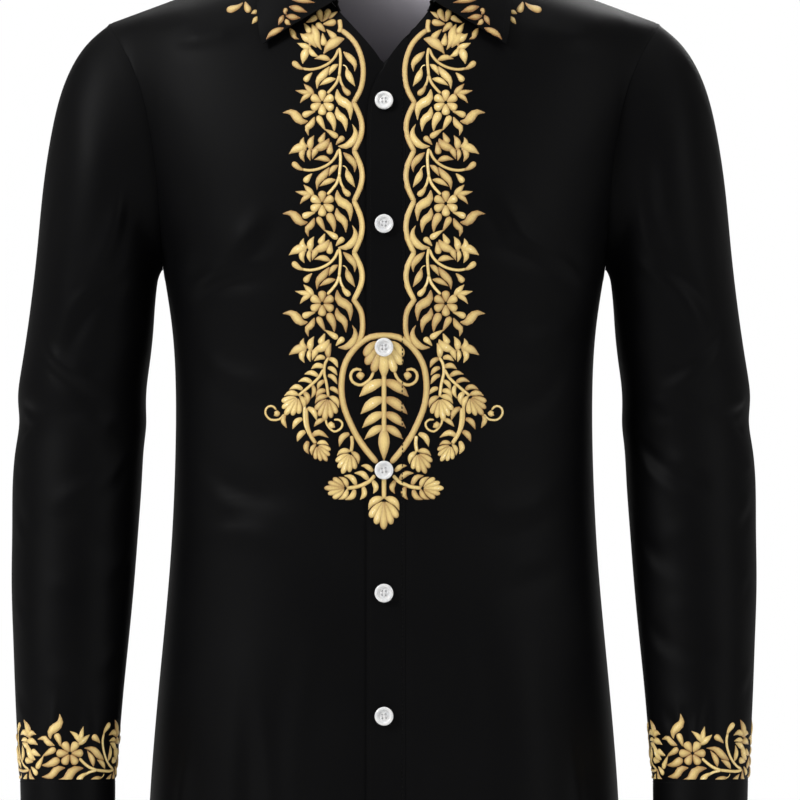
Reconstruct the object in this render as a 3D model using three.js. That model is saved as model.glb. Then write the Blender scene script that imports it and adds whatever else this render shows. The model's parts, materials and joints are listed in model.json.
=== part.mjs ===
// A long-sleeved dress shirt in the barong tagalog manner, filled out as if worn but with no wearer:
// an open pointed collar, a full button front, and gold embroidery down both sides of it.
// Units are millimetres and +Z is up. The shirt faces -Y, and +X is the wearer's left.
// The origin is the middle of the neck hole, level with the inner ends of the shoulder seams.
import * as THREE from "three";

// Cloth and seams.
const CLOTH = 1.2;
const COLLAR_CLOTH = 1.4;
const CUFF_CLOTH = 1.6;
const SEAM_GAP = 0.3;
const LAP_GAP = 0.75;

// Levels of the garment.
const HEM_Z = -770;
const UNDERARM_Z = -256;
const SHOULDER = { x: 222, z: -57 };
const NECK = { x: 68, z: 0 };
const SIDE_SEAM_Y = 5;
const CUFF_SEAM_Z = -664;

// How finely the walls are divided.
const LOWER_ROWS = 11;
const UPPER_ROWS = 12;
const FRONT_COLUMNS = 11;
const UNDERLAP_COLUMNS = FRONT_COLUMNS + 2;
const HALF_BACK_COLUMNS = 9;
const BACK_SHOULDER_COLUMN = 5;

// The body of the filled shirt, from hem to neck: its half width seen from the front, and how far
// its front and its back stand from the side seams.
const BODY_SECTIONS = [
  { z: -770, halfWidth: 192, front: 118, back: 122 },
  { z: -679, halfWidth: 189, front: 117, back: 121 },
  { z: -584, halfWidth: 181, front: 116, back: 118 },
  { z: -488, halfWidth: 172, front: 115, back: 113 },
  { z: -392, halfWidth: 168, front: 116, back: 109 },
  { z: -312, halfWidth: 169, front: 120, back: 109 },
  { z: -256, halfWidth: 178, front: 124, back: 112 },
  { z: -200, halfWidth: 191, front: 121, back: 113 },
  { z: -150, halfWidth: 203, front: 113, back: 109 },
  { z: -90, halfWidth: 216, front: 95, back: 101 },
  { z: -57, halfWidth: 222, front: 79, back: 92 },
  { z: -30, halfWidth: 149, front: 60, back: 82 },
  { z: 0, halfWidth: 68, front: 40, back: 71 },
  { z: 20, halfWidth: 14, front: 30, back: 60 },
];
const ROUNDNESS = 2.4;
const ARMHOLE_REACH = { front: 56, back: 54 };
const SHOULDER_ROUNDING = 0.3;

// The inner edges of the three front pieces, row by row from the underarm up. The left front ends
// at the placket's seam and then at the neckline; the placket's free edge and the right front's
// edge, given as if it too were on the left, both open into the neckline.
const FRONT_EDGES = [
  { seamX: 17.8, seamZ: -256, freeX: -14, freeZ: -256, underX: -14, underZ: -256 },
  { seamX: 17.8, seamZ: -226, freeX: -14, freeZ: -227, underX: -14, underZ: -227 },
  { seamX: 17.8, seamZ: -197, freeX: -14, freeZ: -199, underX: -14, underZ: -198 },
  { seamX: 17.8, seamZ: -169, freeX: -14, freeZ: -171, underX: -14, underZ: -170 },
  { seamX: 17.8, seamZ: -142, freeX: -14, freeZ: -144, underX: -14, underZ: -143 },
  { seamX: 17.8, seamZ: -118, freeX: -13, freeZ: -118, underX: -12, underZ: -117 },
  { seamX: 17.8, seamZ: -98, freeX: -5, freeZ: -99, underX: -3, underZ: -96 },
  { seamX: 18.6, seamZ: -80, freeX: 6, freeZ: -82, underX: 8, underZ: -79 },
  { seamX: 21, seamZ: -64.5, freeX: 17.6, freeZ: -68, underX: 21, underZ: -64.5 },
  { seamX: 35.6, seamZ: -49, underX: 35.6, underZ: -49 },
  { seamX: 49, seamZ: -33, underX: 49, underZ: -33 },
  { seamX: 60, seamZ: -16.5, underX: 60, underZ: -16.5 },
  { seamX: 68, seamZ: 0, underX: 68, underZ: 0 },
];
const PLACKET_TOP_ROW = 8;
const NECK_CORNER_ROW = 9;
const UNDERLAP_RAMP = { start: 14, end: 1 };

// The top edge of the back, from the shoulder's outer end along its seam and then round the neck.
const BACK_TOP = [
  { x: 222, z: -57 },
  { x: 191.2, z: -45.6 },
  { x: 160.4, z: -34.2 },
  { x: 129.6, z: -22.8 },
  { x: 98.8, z: -11.4 },
  { x: 68, z: 0 },
  { x: 55, z: 3.2 },
  { x: 38, z: 5.8 },
  { x: 19.5, z: 7.4 },
  { x: 0, z: 8 },
];

// The sleeve from the armhole to the cuff: the ends of each section seen from the front, and its
// middle and half depth seen from the side.
const SLEEVE_SECTIONS = [
  { outerX: 243, outerZ: -73, innerX: 181.5, innerZ: -262, middleY: 6, halfDepth: 60 },
  { outerX: 260, outerZ: -105, innerX: 182.5, innerZ: -269, middleY: 7, halfDepth: 64 },
  { outerX: 269, outerZ: -144, innerX: 183.5, innerZ: -278, middleY: 8, halfDepth: 65 },
  { outerX: 276, outerZ: -190, innerX: 184.5, innerZ: -290, middleY: 9, halfDepth: 64 },
  { outerX: 280, outerZ: -240, innerX: 185.5, innerZ: -308, middleY: 11, halfDepth: 62 },
  { outerX: 286, outerZ: -290, innerX: 188, innerZ: -330, middleY: 12, halfDepth: 60 },
  { outerX: 292, outerZ: -330, innerX: 191, innerZ: -349, middleY: 13, halfDepth: 58 },
  { outerX: 297, outerZ: -358, innerX: 191.5, innerZ: -366, middleY: 14, halfDepth: 57 },
  { outerX: 293.5, outerZ: -377, innerX: 190.5, innerZ: -381, middleY: 14, halfDepth: 56 },
  { outerX: 298, outerZ: -399, innerX: 193.5, innerZ: -399, middleY: 13, halfDepth: 56 },
  { outerX: 300.5, outerZ: -428, innerX: 194.5, innerZ: -428, middleY: 10, halfDepth: 56 },
  { outerX: 300, outerZ: -466, innerX: 197.5, innerZ: -466, middleY: 4, halfDepth: 54 },
  { outerX: 301, outerZ: -508, innerX: 200.5, innerZ: -508, middleY: -4, halfDepth: 51 },
  { outerX: 299, outerZ: -550, innerX: 204.5, innerZ: -550, middleY: -12, halfDepth: 48 },
  { outerX: 297.5, outerZ: -592, innerX: 209, innerZ: -592, middleY: -20, halfDepth: 45 },
  { outerX: 295.5, outerZ: -630, innerX: 212, innerZ: -630, middleY: -27, halfDepth: 43 },
  { outerX: 293.5, outerZ: -664, innerX: 215, innerZ: -664, middleY: -33, halfDepth: 41.5 },
];
const CUFF_SECTIONS = [
  { outerX: 293, outerZ: -664.6, innerX: 215.5, innerZ: -664.6, middleY: -33, halfDepth: 41 },
  { outerX: 292.5, outerZ: -683, innerX: 215.5, innerZ: -683, middleY: -36, halfDepth: 40.5 },
  { outerX: 292, outerZ: -702, innerX: 216, innerZ: -702, middleY: -39, halfDepth: 40 },
  { outerX: 291.5, outerZ: -720, innerX: 216.5, innerZ: -720, middleY: -42, halfDepth: 40 },
];
const CUFF = { columns: 26, overlapAngle: 0.5, rampAngle: 0.7, startAngle: 4.1 };

// The collar along the neck seam, from its front end (share 0) to the middle of the back (share 1):
// how its stand rises and leans out, how wide its roll is, how far the leaf bows out, and where the
// leaf's free edge lies.
const COLLAR_SECTIONS = [
  { share: 0, rise: 7, lean: 4, roll: 4.5, bow: 5, edgeX: 97.5, edgeY: -83, edgeZ: -75.5 },
  { share: 0.1, rise: 11, lean: 4, roll: 5, bow: 7, edgeX: 100.5, edgeY: -77, edgeZ: -62 },
  { share: 0.28, rise: 20, lean: 1, roll: 5.5, bow: 9, edgeX: 102, edgeY: -48, edgeZ: -28 },
  { share: 0.46, rise: 27, lean: -3, roll: 6, bow: 9, edgeX: 101, edgeY: 6, edgeZ: -5 },
  { share: 0.64, rise: 30, lean: -5, roll: 6, bow: 8, edgeX: 82, edgeY: 56, edgeZ: -1 },
  { share: 0.84, rise: 32, lean: -6, roll: 6, bow: 7, edgeX: 42, edgeY: 86, edgeZ: -3 },
  { share: 1, rise: 32, lean: -6, roll: 6, bow: 7, edgeX: 0, edgeY: 93, edgeZ: -4 },
];
const STAND_ROWS = 3;
const ROLL_ANGLES = [180, 120, 60, 0];
const LEAF_STEPS = [0.25, 0.5, 0.75, 1];

// The largest folds: soft ridges (height above zero) and troughs (below zero) along a line. They are
// given on the wearer's left and come again, a little lower, on the right.
const FOLDS = [
  { x1: 165, y1: -52, z1: -250, x2: 120, y2: -105, z2: -215, width: 17, height: 3 },
  { x1: 160, y1: -60, z1: -285, x2: 118, y2: -100, z2: -330, width: 18, height: -3 },
  { x1: 160, y1: 68, z1: -250, x2: 110, y2: 105, z2: -205, width: 19, height: 3 },
  { x1: 158, y1: 40, z1: -400, x2: 90, y2: 100, z2: -440, width: 22, height: -3.5 },
  { x1: 158, y1: -35, z1: -420, x2: 100, y2: -100, z2: -400, width: 20, height: -2.5 },
  { x1: 110, y1: -100, z1: -560, x2: 128, y2: -98, z2: -770, width: 20, height: 5 },
  { x1: 74, y1: -110, z1: -600, x2: 80, y2: -110, z2: -770, width: 19, height: -3.5 },
  { x1: 160, y1: -60, z1: -600, x2: 168, y2: -65, z2: -770, width: 19, height: -3.5 },
  { x1: 120, y1: 95, z1: -470, x2: 135, y2: 98, z2: -770, width: 24, height: 6 },
  { x1: 62, y1: 112, z1: -420, x2: 68, y2: 118, z2: -770, width: 24, height: -5 },
  { x1: 240, y1: -56, z1: -160, x2: 262, y2: -50, z2: -290, width: 17, height: 3 },
  { x1: 235, y1: 68, z1: -190, x2: 266, y2: 62, z2: -300, width: 18, height: 3.5 },
  { x1: 285, y1: -5, z1: -350, x2: 222, y2: -42, z2: -368, width: 11, height: 3 },
  { x1: 285, y1: -8, z1: -374, x2: 215, y2: -35, z2: -394, width: 11, height: -3.5 },
  { x1: 285, y1: -8, z1: -398, x2: 210, y2: -38, z2: -424, width: 12, height: 3 },
  { x1: 215, y1: 52, z1: -360, x2: 268, y2: 62, z2: -388, width: 13, height: -3 },
  { x1: 280, y1: -48, z1: -545, x2: 225, y2: -50, z2: -575, width: 13, height: 2.5 },
];

const BUTTON = { diameter: 15, firstZ: -120.8, pitch: 98.4, count: 6 };
const CUFF_BUTTON_DIAMETER = 11;
// A button's section from the middle of its back to the middle of its face, for a radius of 1.
const BUTTON_SECTION = [
  { radius: 0, height: 0 },
  { radius: 0.86, height: 0 },
  { radius: 1, height: 0.16 },
  { radius: 0.98, height: 0.34 },
  { radius: 0.88, height: 0.42 },
  { radius: 0.68, height: 0.3 },
  { radius: 0, height: 0.3 },
];
const BUTTON_SIDES = 14;

// The raised gold cords, as lines of points seen from the front on the wearer's left.
const CORD = { width: 5, height: 1.3, gap: 0.55, step: 7.5 };
const CUSPS = [
  { x: 31.5, z: -64 },
  { x: 24, z: -123 },
  { x: 24, z: -160.8 },
  { x: 24, z: -201 },
  { x: 24, z: -242.4 },
  { x: 24, z: -279.8 },
];
const SCALLOP_DEPTH = 6.5;
const MEDALLION_RIM = [
  { x: -12.5, z: -309.5 },
  { x: 0, z: -307 },
  { x: 13, z: -309.5 },
  { x: 25, z: -318 },
  { x: 33, z: -332 },
  { x: 35, z: -350 },
  { x: 30, z: -369 },
  { x: 21, z: -386 },
  { x: 12.5, z: -399 },
  { x: 8.5, z: -406 },
];
const MEDALLION_SPLIT = 19;
// The raised flowers: six petals round a dome.
const FLOWER = { x: 49.3, radius: 10.5, height: 1.8, petals: 6, gap: 0.5 };
const FLOWER_LEVELS = [-122, -203, -282.8];

const finishes = {
  cloth: { color: 0x0b0b0d, roughness: 0.75, metalness: 0 },
  thread: { color: 0xd9b56a, roughness: 0.45, metalness: 0.1 },
  pearl: { color: 0xe9e9e6, roughness: 0.25, metalness: 0 },
};

// The value of a table's column on a smooth curve through its rows.
function fromTable(table, key, column, at) {
  const last = table.length - 1;
  let row = 0;
  while (row < last - 1 && at > table[row + 1][key]) row += 1;
  const slope = (i) => {
    const low = table[Math.max(i - 1, 0)];
    const high = table[Math.min(i + 1, last)];
    return (high[column] - low[column]) / (high[key] - low[key]);
  };
  const start = table[row];
  const end = table[row + 1];
  const span = end[key] - start[key];
  const t = Math.min(Math.max((at - start[key]) / span, 0), 1);
  const straight = start[column] + t * t * (3 - 2 * t) * (end[column] - start[column]);
  return straight + t * (1 - t) * span * ((1 - t) * slope(row) - t * slope(row + 1));
}

const range = (from, to) => Array.from({ length: to - from + 1 }, (_, k) => from + k);

function smoothStep(value) {
  const t = Math.min(Math.max(value, 0), 1);
  return t * t * (3 - 2 * t);
}

function halfWidth(z) {
  if (z < SHOULDER.z) return fromTable(BODY_SECTIONS.slice(0, 11), "z", "halfWidth", z);
  const share = (z - SHOULDER.z) / (NECK.z - SHOULDER.z);
  return SHOULDER.x + (NECK.x - SHOULDER.x) * share;
}

// The body's surface at a place seen from the front; side is "front" or "back".
function bodyPoint(x, z, side) {
  const reach = fromTable(BODY_SECTIONS, "z", side, z);
  const share = Math.min(Math.abs(x) / halfWidth(z), 1);
  const depth = reach * (1 - share ** ROUNDNESS) ** (1 / ROUNDNESS);
  return new THREE.Vector3(x, SIDE_SEAM_Y + (side === "front" ? -depth : depth), z);
}

// A point of the armhole's edge, from the underarm (share 0) to the shoulder (share 1).
function armholePoint(share, side) {
  const angle = Math.PI * (1 - share);
  const middleZ = (SHOULDER.z + UNDERARM_Z) / 2;
  const z = middleZ + ((SHOULDER.z - UNDERARM_Z) / 2) * Math.cos(angle);
  const depth = ARMHOLE_REACH[side] * Math.sin(angle);
  const inset = (1 - (depth / fromTable(BODY_SECTIONS, "z", side, z)) ** ROUNDNESS) ** (1 / ROUNDNESS);
  return new THREE.Vector3(halfWidth(z) * inset, SIDE_SEAM_Y + (side === "front" ? -depth : depth), z);
}

// Rounds off the shoulder's end: near the armhole, the top rows of a panel reach forward or back
// from the seam's line no faster than the armhole's own edge does.
function roundShoulder(row, share) {
  const strength = smoothStep((share - 0.55) / 0.35);
  const start = row[0];
  for (const p of row) {
    const along = Math.abs((start.x - p.x) / start.x);
    const held = strength * Math.max(1 - along / SHOULDER_ROUNDING, 0) ** 2;
    p.y += (start.y - p.y) * held;
  }
}

// The shares of the way from a row's side to its inner edge at which its columns lie; they are
// closer together where the body turns round to the side.
function columnShares(columns, sideX, edgeX) {
  const power = ROUNDNESS / 2;
  const last = Math.asin(Math.sign(edgeX) * (Math.abs(edgeX) / sideX) ** power);
  return Array.from({ length: columns + 1 }, (_, j) => {
    const angle = Math.PI / 2 + (last - Math.PI / 2) * (j / columns);
    const x = sideX * Math.sign(Math.sin(angle)) * Math.abs(Math.sin(angle)) ** (1 / power);
    return (sideX - x) / (sideX - edgeX);
  });
}

// A front as rows of points on the wearer's left, hem to shoulder and side to inner edge. An edge
// may name places in `columnsAt` where more columns are needed before it.
function frontGrid(edges) {
  const rowFrom = (side, sideZ, edge) => {
    const places = [...(edge.columnsAt ?? []), edge.x];
    const even = columnShares(FRONT_COLUMNS, side, places[0]).map((s) => side + (places[0] - side) * s);
    return [...even, ...places.slice(1)].map((x) =>
      bodyPoint(x, sideZ + ((edge.z - sideZ) * (side - x)) / (side - edge.x), "front"),
    );
  };
  const rows = range(0, LOWER_ROWS - 1).map((i) => {
    const z = HEM_Z + ((UNDERARM_Z - HEM_Z) * i) / LOWER_ROWS;
    return rowFrom(halfWidth(z), z, { ...edges[0], z });
  });
  edges.forEach((edge, i) => {
    const start = armholePoint(i / UPPER_ROWS, "front");
    const row = rowFrom(start.x, start.z, edge);
    row[0] = start;
    roundShoulder(row, i / UPPER_ROWS);
    rows.push(row);
  });
  return rows;
}

// The left half of the back, hem to shoulder and side to middle.
function halfBackGrid() {
  const rows = [];
  const columns = HALF_BACK_COLUMNS;
  for (let i = 0; i < LOWER_ROWS; i += 1) {
    const z = HEM_Z + ((UNDERARM_Z - HEM_Z) * i) / LOWER_ROWS;
    const side = halfWidth(z);
    rows.push(columnShares(columns, side, 0).map((s) => bodyPoint(side * (1 - s), z, "back")));
  }
  const top = BACK_TOP[columns];
  for (let i = 0; i <= UPPER_ROWS; i += 1) {
    const start = armholePoint(i / UPPER_ROWS, "back");
    const toTop = (i / UPPER_ROWS) ** 2;
    const middleZ = UNDERARM_Z + (top.z - UNDERARM_Z) * (i / UPPER_ROWS);
    const row = columnShares(columns, start.x, 0).map((s, j) => {
      const topX = BACK_TOP[j].x / SHOULDER.x;
      const x = start.x * (1 - s + (topX - 1 + s) * toTop);
      const topShare = (BACK_TOP[j].z - SHOULDER.z) / (top.z - SHOULDER.z);
      const share = s + (topShare - s) * toTop;
      return bodyPoint(x, start.z + (middleZ - start.z) * share, "back");
    });
    row[0] = start;
    roundShoulder(row, i / UPPER_ROWS);
    rows.push(row);
  }
  return rows;
}

// Soft folds at a place, as a height to move it out by.
function foldHeight(point) {
  const strength = point.x < 0 ? 0.85 : 1;
  const at = new THREE.Vector3(Math.abs(point.x), point.y, point.z + (point.x < 0 ? 8 : 0));
  const nearest = new THREE.Vector3();
  let height = 0;
  for (const fold of FOLDS) {
    const start = new THREE.Vector3(fold.x1, fold.y1, fold.z1);
    const end = new THREE.Vector3(fold.x2, fold.y2, fold.z2);
    new THREE.Line3(start, end).closestPointToPoint(at, true, nearest);
    height += strength * fold.height * Math.exp(-((at.distanceTo(nearest) / fold.width) ** 2));
  }
  return height;
}

// Outward directions at a grid's points. A grid that runs the other way round is given as flipped,
// and a tube, whose rows close on themselves, as round.
function gridNormals(grid, { flipped = false, round = false }) {
  const columns = grid[0].length;
  const normals = grid.map((row) => row.map(() => new THREE.Vector3()));
  for (let i = 0; i + 1 < grid.length; i += 1)
    for (let j = 0; j < (round ? columns : columns - 1); j += 1) {
      const k = (j + 1) % columns;
      const across = new THREE.Vector3().subVectors(grid[i + 1][k], grid[i][j]);
      const back = new THREE.Vector3().subVectors(grid[i + 1][j], grid[i][k]);
      const normal = across.cross(back).normalize().multiplyScalar(flipped ? -1 : 1);
      normals[i][j].add(normal);
      normals[i][k].add(normal);
      normals[i + 1][k].add(normal);
      normals[i + 1][j].add(normal);
    }
  normals.forEach((row) => row.forEach((n) => n.normalize()));
  return normals;
}

// Turns the directions on the two sides of a seam towards each other where they nearly agree.
function matchNormals(first, second) {
  first.forEach((a, i) => {
    const b = second[i];
    const weight = smoothStep((a.dot(b) - 0.1) / 0.5);
    const before = a.clone();
    a.addScaledVector(b, weight).normalize();
    b.addScaledVector(before, weight).normalize();
  });
}

// A cloth wall as one closed solid, from the rows of its outer points and their directions.
function wallGeometry(panel, thickness) {
  const { grid, normals, flipped = false, round = false } = panel;
  const rows = grid.length;
  const columns = grid[0].length;
  const outer = grid.flat();
  const directions = normals.flat();
  const inner = outer.map((p, k) => p.clone().addScaledVector(directions[k], -thickness));
  const positions = [...outer, ...inner].flatMap((p) => [p.x, p.y, p.z]);
  const triangles = [];
  const quad = (a, b, c, d) => {
    if (flipped) triangles.push(a, c, b, a, d, c);
    else triangles.push(a, b, c, a, c, d);
  };
  const out = (i, j) => i * columns + (j % columns);
  const inn = (i, j) => rows * columns + out(i, j);
  const spans = round ? columns : columns - 1;
  for (let j = 0; j < spans; j += 1) {
    for (let i = 0; i + 1 < rows; i += 1) {
      quad(out(i, j), out(i, j + 1), out(i + 1, j + 1), out(i + 1, j));
      quad(inn(i, j), inn(i + 1, j), inn(i + 1, j + 1), inn(i, j + 1));
    }
    quad(inn(0, j), inn(0, j + 1), out(0, j + 1), out(0, j));
    quad(out(rows - 1, j), out(rows - 1, j + 1), inn(rows - 1, j + 1), inn(rows - 1, j));
  }
  if (!round)
    for (let i = 0; i + 1 < rows; i += 1) {
      quad(out(i, 0), out(i + 1, 0), inn(i + 1, 0), inn(i, 0));
      quad(inn(i, spans), inn(i + 1, spans), out(i + 1, spans), out(i, spans));
    }
  return new THREE.BufferGeometry()
    .setAttribute("position", new THREE.Float32BufferAttribute(positions, 3))
    .setIndex(triangles);
}

const mirroredPoint = (p) => new THREE.Vector3(-p.x, p.y, p.z);
const mirroredGrid = (grid) => grid.map((row) => row.map(mirroredPoint));

function foldedPanel(grid, options) {
  const normals = gridNormals(grid, options);
  grid.forEach((row, i) => row.forEach((p, j) => p.addScaledVector(normals[i][j], foldHeight(p))));
  return { grid, normals: gridNormals(grid, options), ...options };
}

// The body's panels. Their rims at the side and shoulder seams stand square to the seams.
const seamEdges = FRONT_EDGES.map((row) => ({ x: row.seamX, z: row.seamZ }));
const underEdges = FRONT_EDGES.map((row) => {
  const lapX = Math.max(-(row.freeX ?? 0), row.underX + 1.5);
  const columnsAt = [lapX + UNDERLAP_RAMP.start, lapX + UNDERLAP_RAMP.end];
  return { x: row.underX, z: row.underZ, columnsAt };
});
const halfBack = halfBackGrid();
const backGrid = halfBack.map((row) => [...row, ...row.slice(0, -1).reverse().map(mirroredPoint)]);
const frontLeft = foldedPanel(frontGrid(seamEdges), { flipped: true });
const underGrid = mirroredGrid(frontGrid(underEdges));
const back = foldedPanel(backGrid, {});

// The right front sinks behind the placket's free edge, where that laps over it.
const freeEdgeRows = FRONT_EDGES.slice(0, PLACKET_TOP_ROW + 1);
for (const p of underGrid.flat()) {
  const edgeX = p.z < UNDERARM_Z ? freeEdgeRows[0].freeX : fromTable(freeEdgeRows, "freeZ", "freeX", p.z);
  const sink = smoothStep((p.x - edgeX + UNDERLAP_RAMP.start) / (UNDERLAP_RAMP.start - UNDERLAP_RAMP.end));
  p.y += sink * (CLOTH + LAP_GAP);
}
const frontRight = foldedPanel(underGrid, {});

const lastRow = LOWER_ROWS + UPPER_ROWS;
const backEnd = 2 * HALF_BACK_COLUMNS;
function squareSeams(panel, sideColumn, shoulderColumns, sideSign, towards) {
  for (let i = 0; i <= LOWER_ROWS; i += 1) {
    const z = panel.grid[i][sideColumn].z;
    const slope = (halfWidth(z + 1) - halfWidth(z - 1)) / 2;
    panel.normals[i][sideColumn].set(sideSign, 0, -slope).normalize();
    panel.grid[i][sideColumn].y += (towards * SEAM_GAP) / 2;
  }
  for (const j of shoulderColumns) {
    panel.normals[lastRow][j].set(sideSign * (NECK.z - SHOULDER.z), 0, SHOULDER.x - NECK.x).normalize();
    panel.grid[lastRow][j].y += (towards * SEAM_GAP) / 2;
  }
}
squareSeams(frontLeft, 0, range(0, FRONT_COLUMNS), 1, -1);
squareSeams(frontRight, 0, range(0, UNDERLAP_COLUMNS), -1, -1);
squareSeams(back, 0, range(0, BACK_SHOULDER_COLUMN), 1, 1);
squareSeams(back, backEnd, range(backEnd - BACK_SHOULDER_COLUMN, backEnd), -1, 1);

// The placket, a band down the left front's inner edge.
const placketGrid = frontLeft.grid.slice(0, LOWER_ROWS + PLACKET_TOP_ROW + 1).map((row, i) => {
  const seam = row[FRONT_COLUMNS];
  const edge = FRONT_EDGES[Math.max(i - LOWER_ROWS, 0)];
  const freeZ = i < LOWER_ROWS ? seam.z : edge.freeZ;
  const seamX = seam.x - SEAM_GAP;
  return [0, 1 / 3, 2 / 3, 1].map((s) =>
    bodyPoint(seamX + (edge.freeX - seamX) * s, seam.z + (freeZ - seam.z) * s, "front"),
  );
});
const placket = { grid: placketGrid, normals: gridNormals(placketGrid, { flipped: true }), flipped: true };
placketGrid.forEach((row, i) => {
  placket.normals[i][0].copy(frontLeft.normals[i][FRONT_COLUMNS]);
  row[0].y = frontLeft.grid[i][FRONT_COLUMNS].y;
});

// The sleeves: their first ring is the armhole's edge, a seam's gap further out.
function sectionPoint(section, angle, grow = 0) {
  const outer = new THREE.Vector3(section.outerX, section.middleY, section.outerZ);
  const inner = new THREE.Vector3(section.innerX, section.middleY, section.innerZ);
  const middle = new THREE.Vector3().addVectors(outer, inner).divideScalar(2);
  const half = new THREE.Vector3().subVectors(outer, inner).divideScalar(2);
  const widen = 1 + grow / half.length();
  middle.addScaledVector(half, -Math.cos(angle) * widen);
  middle.y -= (section.halfDepth + grow) * Math.sin(angle);
  return middle;
}

function sleevePanel(bodyRing, bodyNormals, mirror) {
  const around = 2 * UPPER_ROWS;
  const gap = new THREE.Vector3(1.5 * mirror, 0, -0.3).multiplyScalar(SEAM_GAP);
  const options = { flipped: mirror > 0, round: true };
  const rings = SLEEVE_SECTIONS.map((section) =>
    range(0, around - 1).map((m) => {
      const point = sectionPoint(section, (2 * Math.PI * m) / around);
      point.x *= mirror;
      return point;
    }),
  );
  const panel = foldedPanel(rings, options);
  panel.grid.unshift(bodyRing.map((p) => p.clone().add(gap)));
  panel.normals = gridNormals(panel.grid, options);
  matchNormals(panel.normals[0], bodyNormals);
  for (const normal of panel.normals[panel.grid.length - 1]) normal.setZ(0).normalize();
  return panel;
}
const armRows = range(LOWER_ROWS, lastRow);
const downRows = armRows.slice(1, -1).reverse();
function armholeRing(front, column, part) {
  const up = armRows.map((i) => front[part][i][0]);
  return [...up, ...downRows.map((i) => back[part][i][column])];
}
const sleeveLeft = sleevePanel(
  armholeRing(frontLeft, 0, "grid"),
  armholeRing(frontLeft, 0, "normals"),
  1,
);
const sleeveRight = sleevePanel(
  armholeRing(frontRight, backEnd, "grid"),
  armholeRing(frontRight, backEnd, "normals"),
  -1,
);

// A cuff, wound once round the wrist with its end lapped over its start.
function cuffPoint(section, turn, mirror, out = 0) {
  const full = 2 * Math.PI;
  const ramp = smoothStep((turn - (full - CUFF.rampAngle)) / (CUFF.rampAngle - 0.08));
  const point = sectionPoint(section, CUFF.startAngle + turn, ramp * (CUFF_CLOTH + LAP_GAP) + out);
  point.x *= mirror;
  return point;
}
function cuffPanel(mirror) {
  const turns = range(0, CUFF.columns).map((k) => ((2 * Math.PI + CUFF.overlapAngle) * k) / CUFF.columns);
  const grid = CUFF_SECTIONS.map((section) => turns.map((turn) => cuffPoint(section, turn, mirror)));
  const options = { flipped: mirror > 0 };
  const normals = gridNormals(grid, options);
  for (const normal of normals[0]) normal.setZ(0).normalize();
  return { grid, normals, ...options };
}

// The neck seam from the front corner on the wearer's left to the middle of the back.
const frontNeck = range(LOWER_ROWS + NECK_CORNER_ROW, lastRow).map((i) => frontLeft.grid[i][FRONT_COLUMNS]);
const backNeck = range(BACK_SHOULDER_COLUMN + 1, HALF_BACK_COLUMNS).map((j) => back.grid[lastRow][j]);
const neckCorners = [...frontNeck, ...backNeck];
const neckHalf = neckCorners.flatMap((p, k) => {
  const next = neckCorners[k + 1];
  return next ? [p.clone(), new THREE.Vector3().addVectors(p, next).divideScalar(2)] : [p.clone()];
});
const neckLengths = [0];
for (let k = 1; k < neckHalf.length; k += 1)
  neckLengths.push(neckLengths[k - 1] + neckHalf[k].distanceTo(neckHalf[k - 1]));

// The collar at one place along the neck seam: the stand's points and then the leaf's.
function collarColumns(k) {
  const share = neckLengths[k] / neckLengths[neckLengths.length - 1];
  const value = (column) => fromTable(COLLAR_SECTIONS, "share", column, share);
  const before = neckHalf[Math.max(k - 2, 0)];
  const after = neckHalf[k + 2] ?? mirroredPoint(neckHalf[2 * neckHalf.length - 4 - k]);
  const out = new THREE.Vector3(after.y - before.y, before.x - after.x, 0).normalize();
  const foot = neckHalf[k].clone();
  foot.z += SEAM_GAP + 0.1;
  const top = foot.clone().addScaledVector(out, value("lean"));
  top.z += value("rise");
  const stand = range(0, STAND_ROWS).map((i) => new THREE.Vector3().lerpVectors(foot, top, i / STAND_ROWS));
  const radius = value("roll") / 2;
  const centre = top.clone().addScaledVector(out, radius - COLLAR_CLOTH);
  centre.z += SEAM_GAP + 0.1;
  const leaf = ROLL_ANGLES.map((degrees) => {
    const angle = (degrees * Math.PI) / 180;
    const point = centre.clone().addScaledVector(out, radius * Math.cos(angle));
    point.z += radius * Math.sin(angle);
    return point;
  });
  const start = leaf[leaf.length - 1];
  const edge = new THREE.Vector3(value("edgeX"), value("edgeY"), value("edgeZ"));
  const bend = new THREE.Vector3().lerpVectors(start, edge, 0.42).addScaledVector(out, value("bow"));
  const fall = new THREE.QuadraticBezierCurve3(start, bend, edge);
  return { out, stand, leaf: [...leaf, ...LEAF_STEPS.map((t) => fall.getPoint(t))] };
}
const leftColumns = neckHalf.map((_, k) => collarColumns(k));
const rightColumns = leftColumns.slice(0, -1).map((column) => ({
  out: mirroredPoint(column.out),
  stand: column.stand.map(mirroredPoint),
  leaf: column.leaf.map(mirroredPoint),
}));
const collarAround = [...leftColumns, ...rightColumns.reverse()];
const standGrid = range(0, STAND_ROWS).map((i) => collarAround.map((column) => column.stand[i].clone()));
const standNormals = standGrid.map(() => collarAround.map((column) => column.out.clone()));
const leafRows = ROLL_ANGLES.length + LEAF_STEPS.length;
const leafGrid = range(0, leafRows - 1).map((i) => collarAround.map((column) => column.leaf[i].clone()));
const leafNormals = gridNormals(leafGrid, {});
leafNormals[0] = collarAround.map((column) => column.out.clone().negate());

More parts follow.
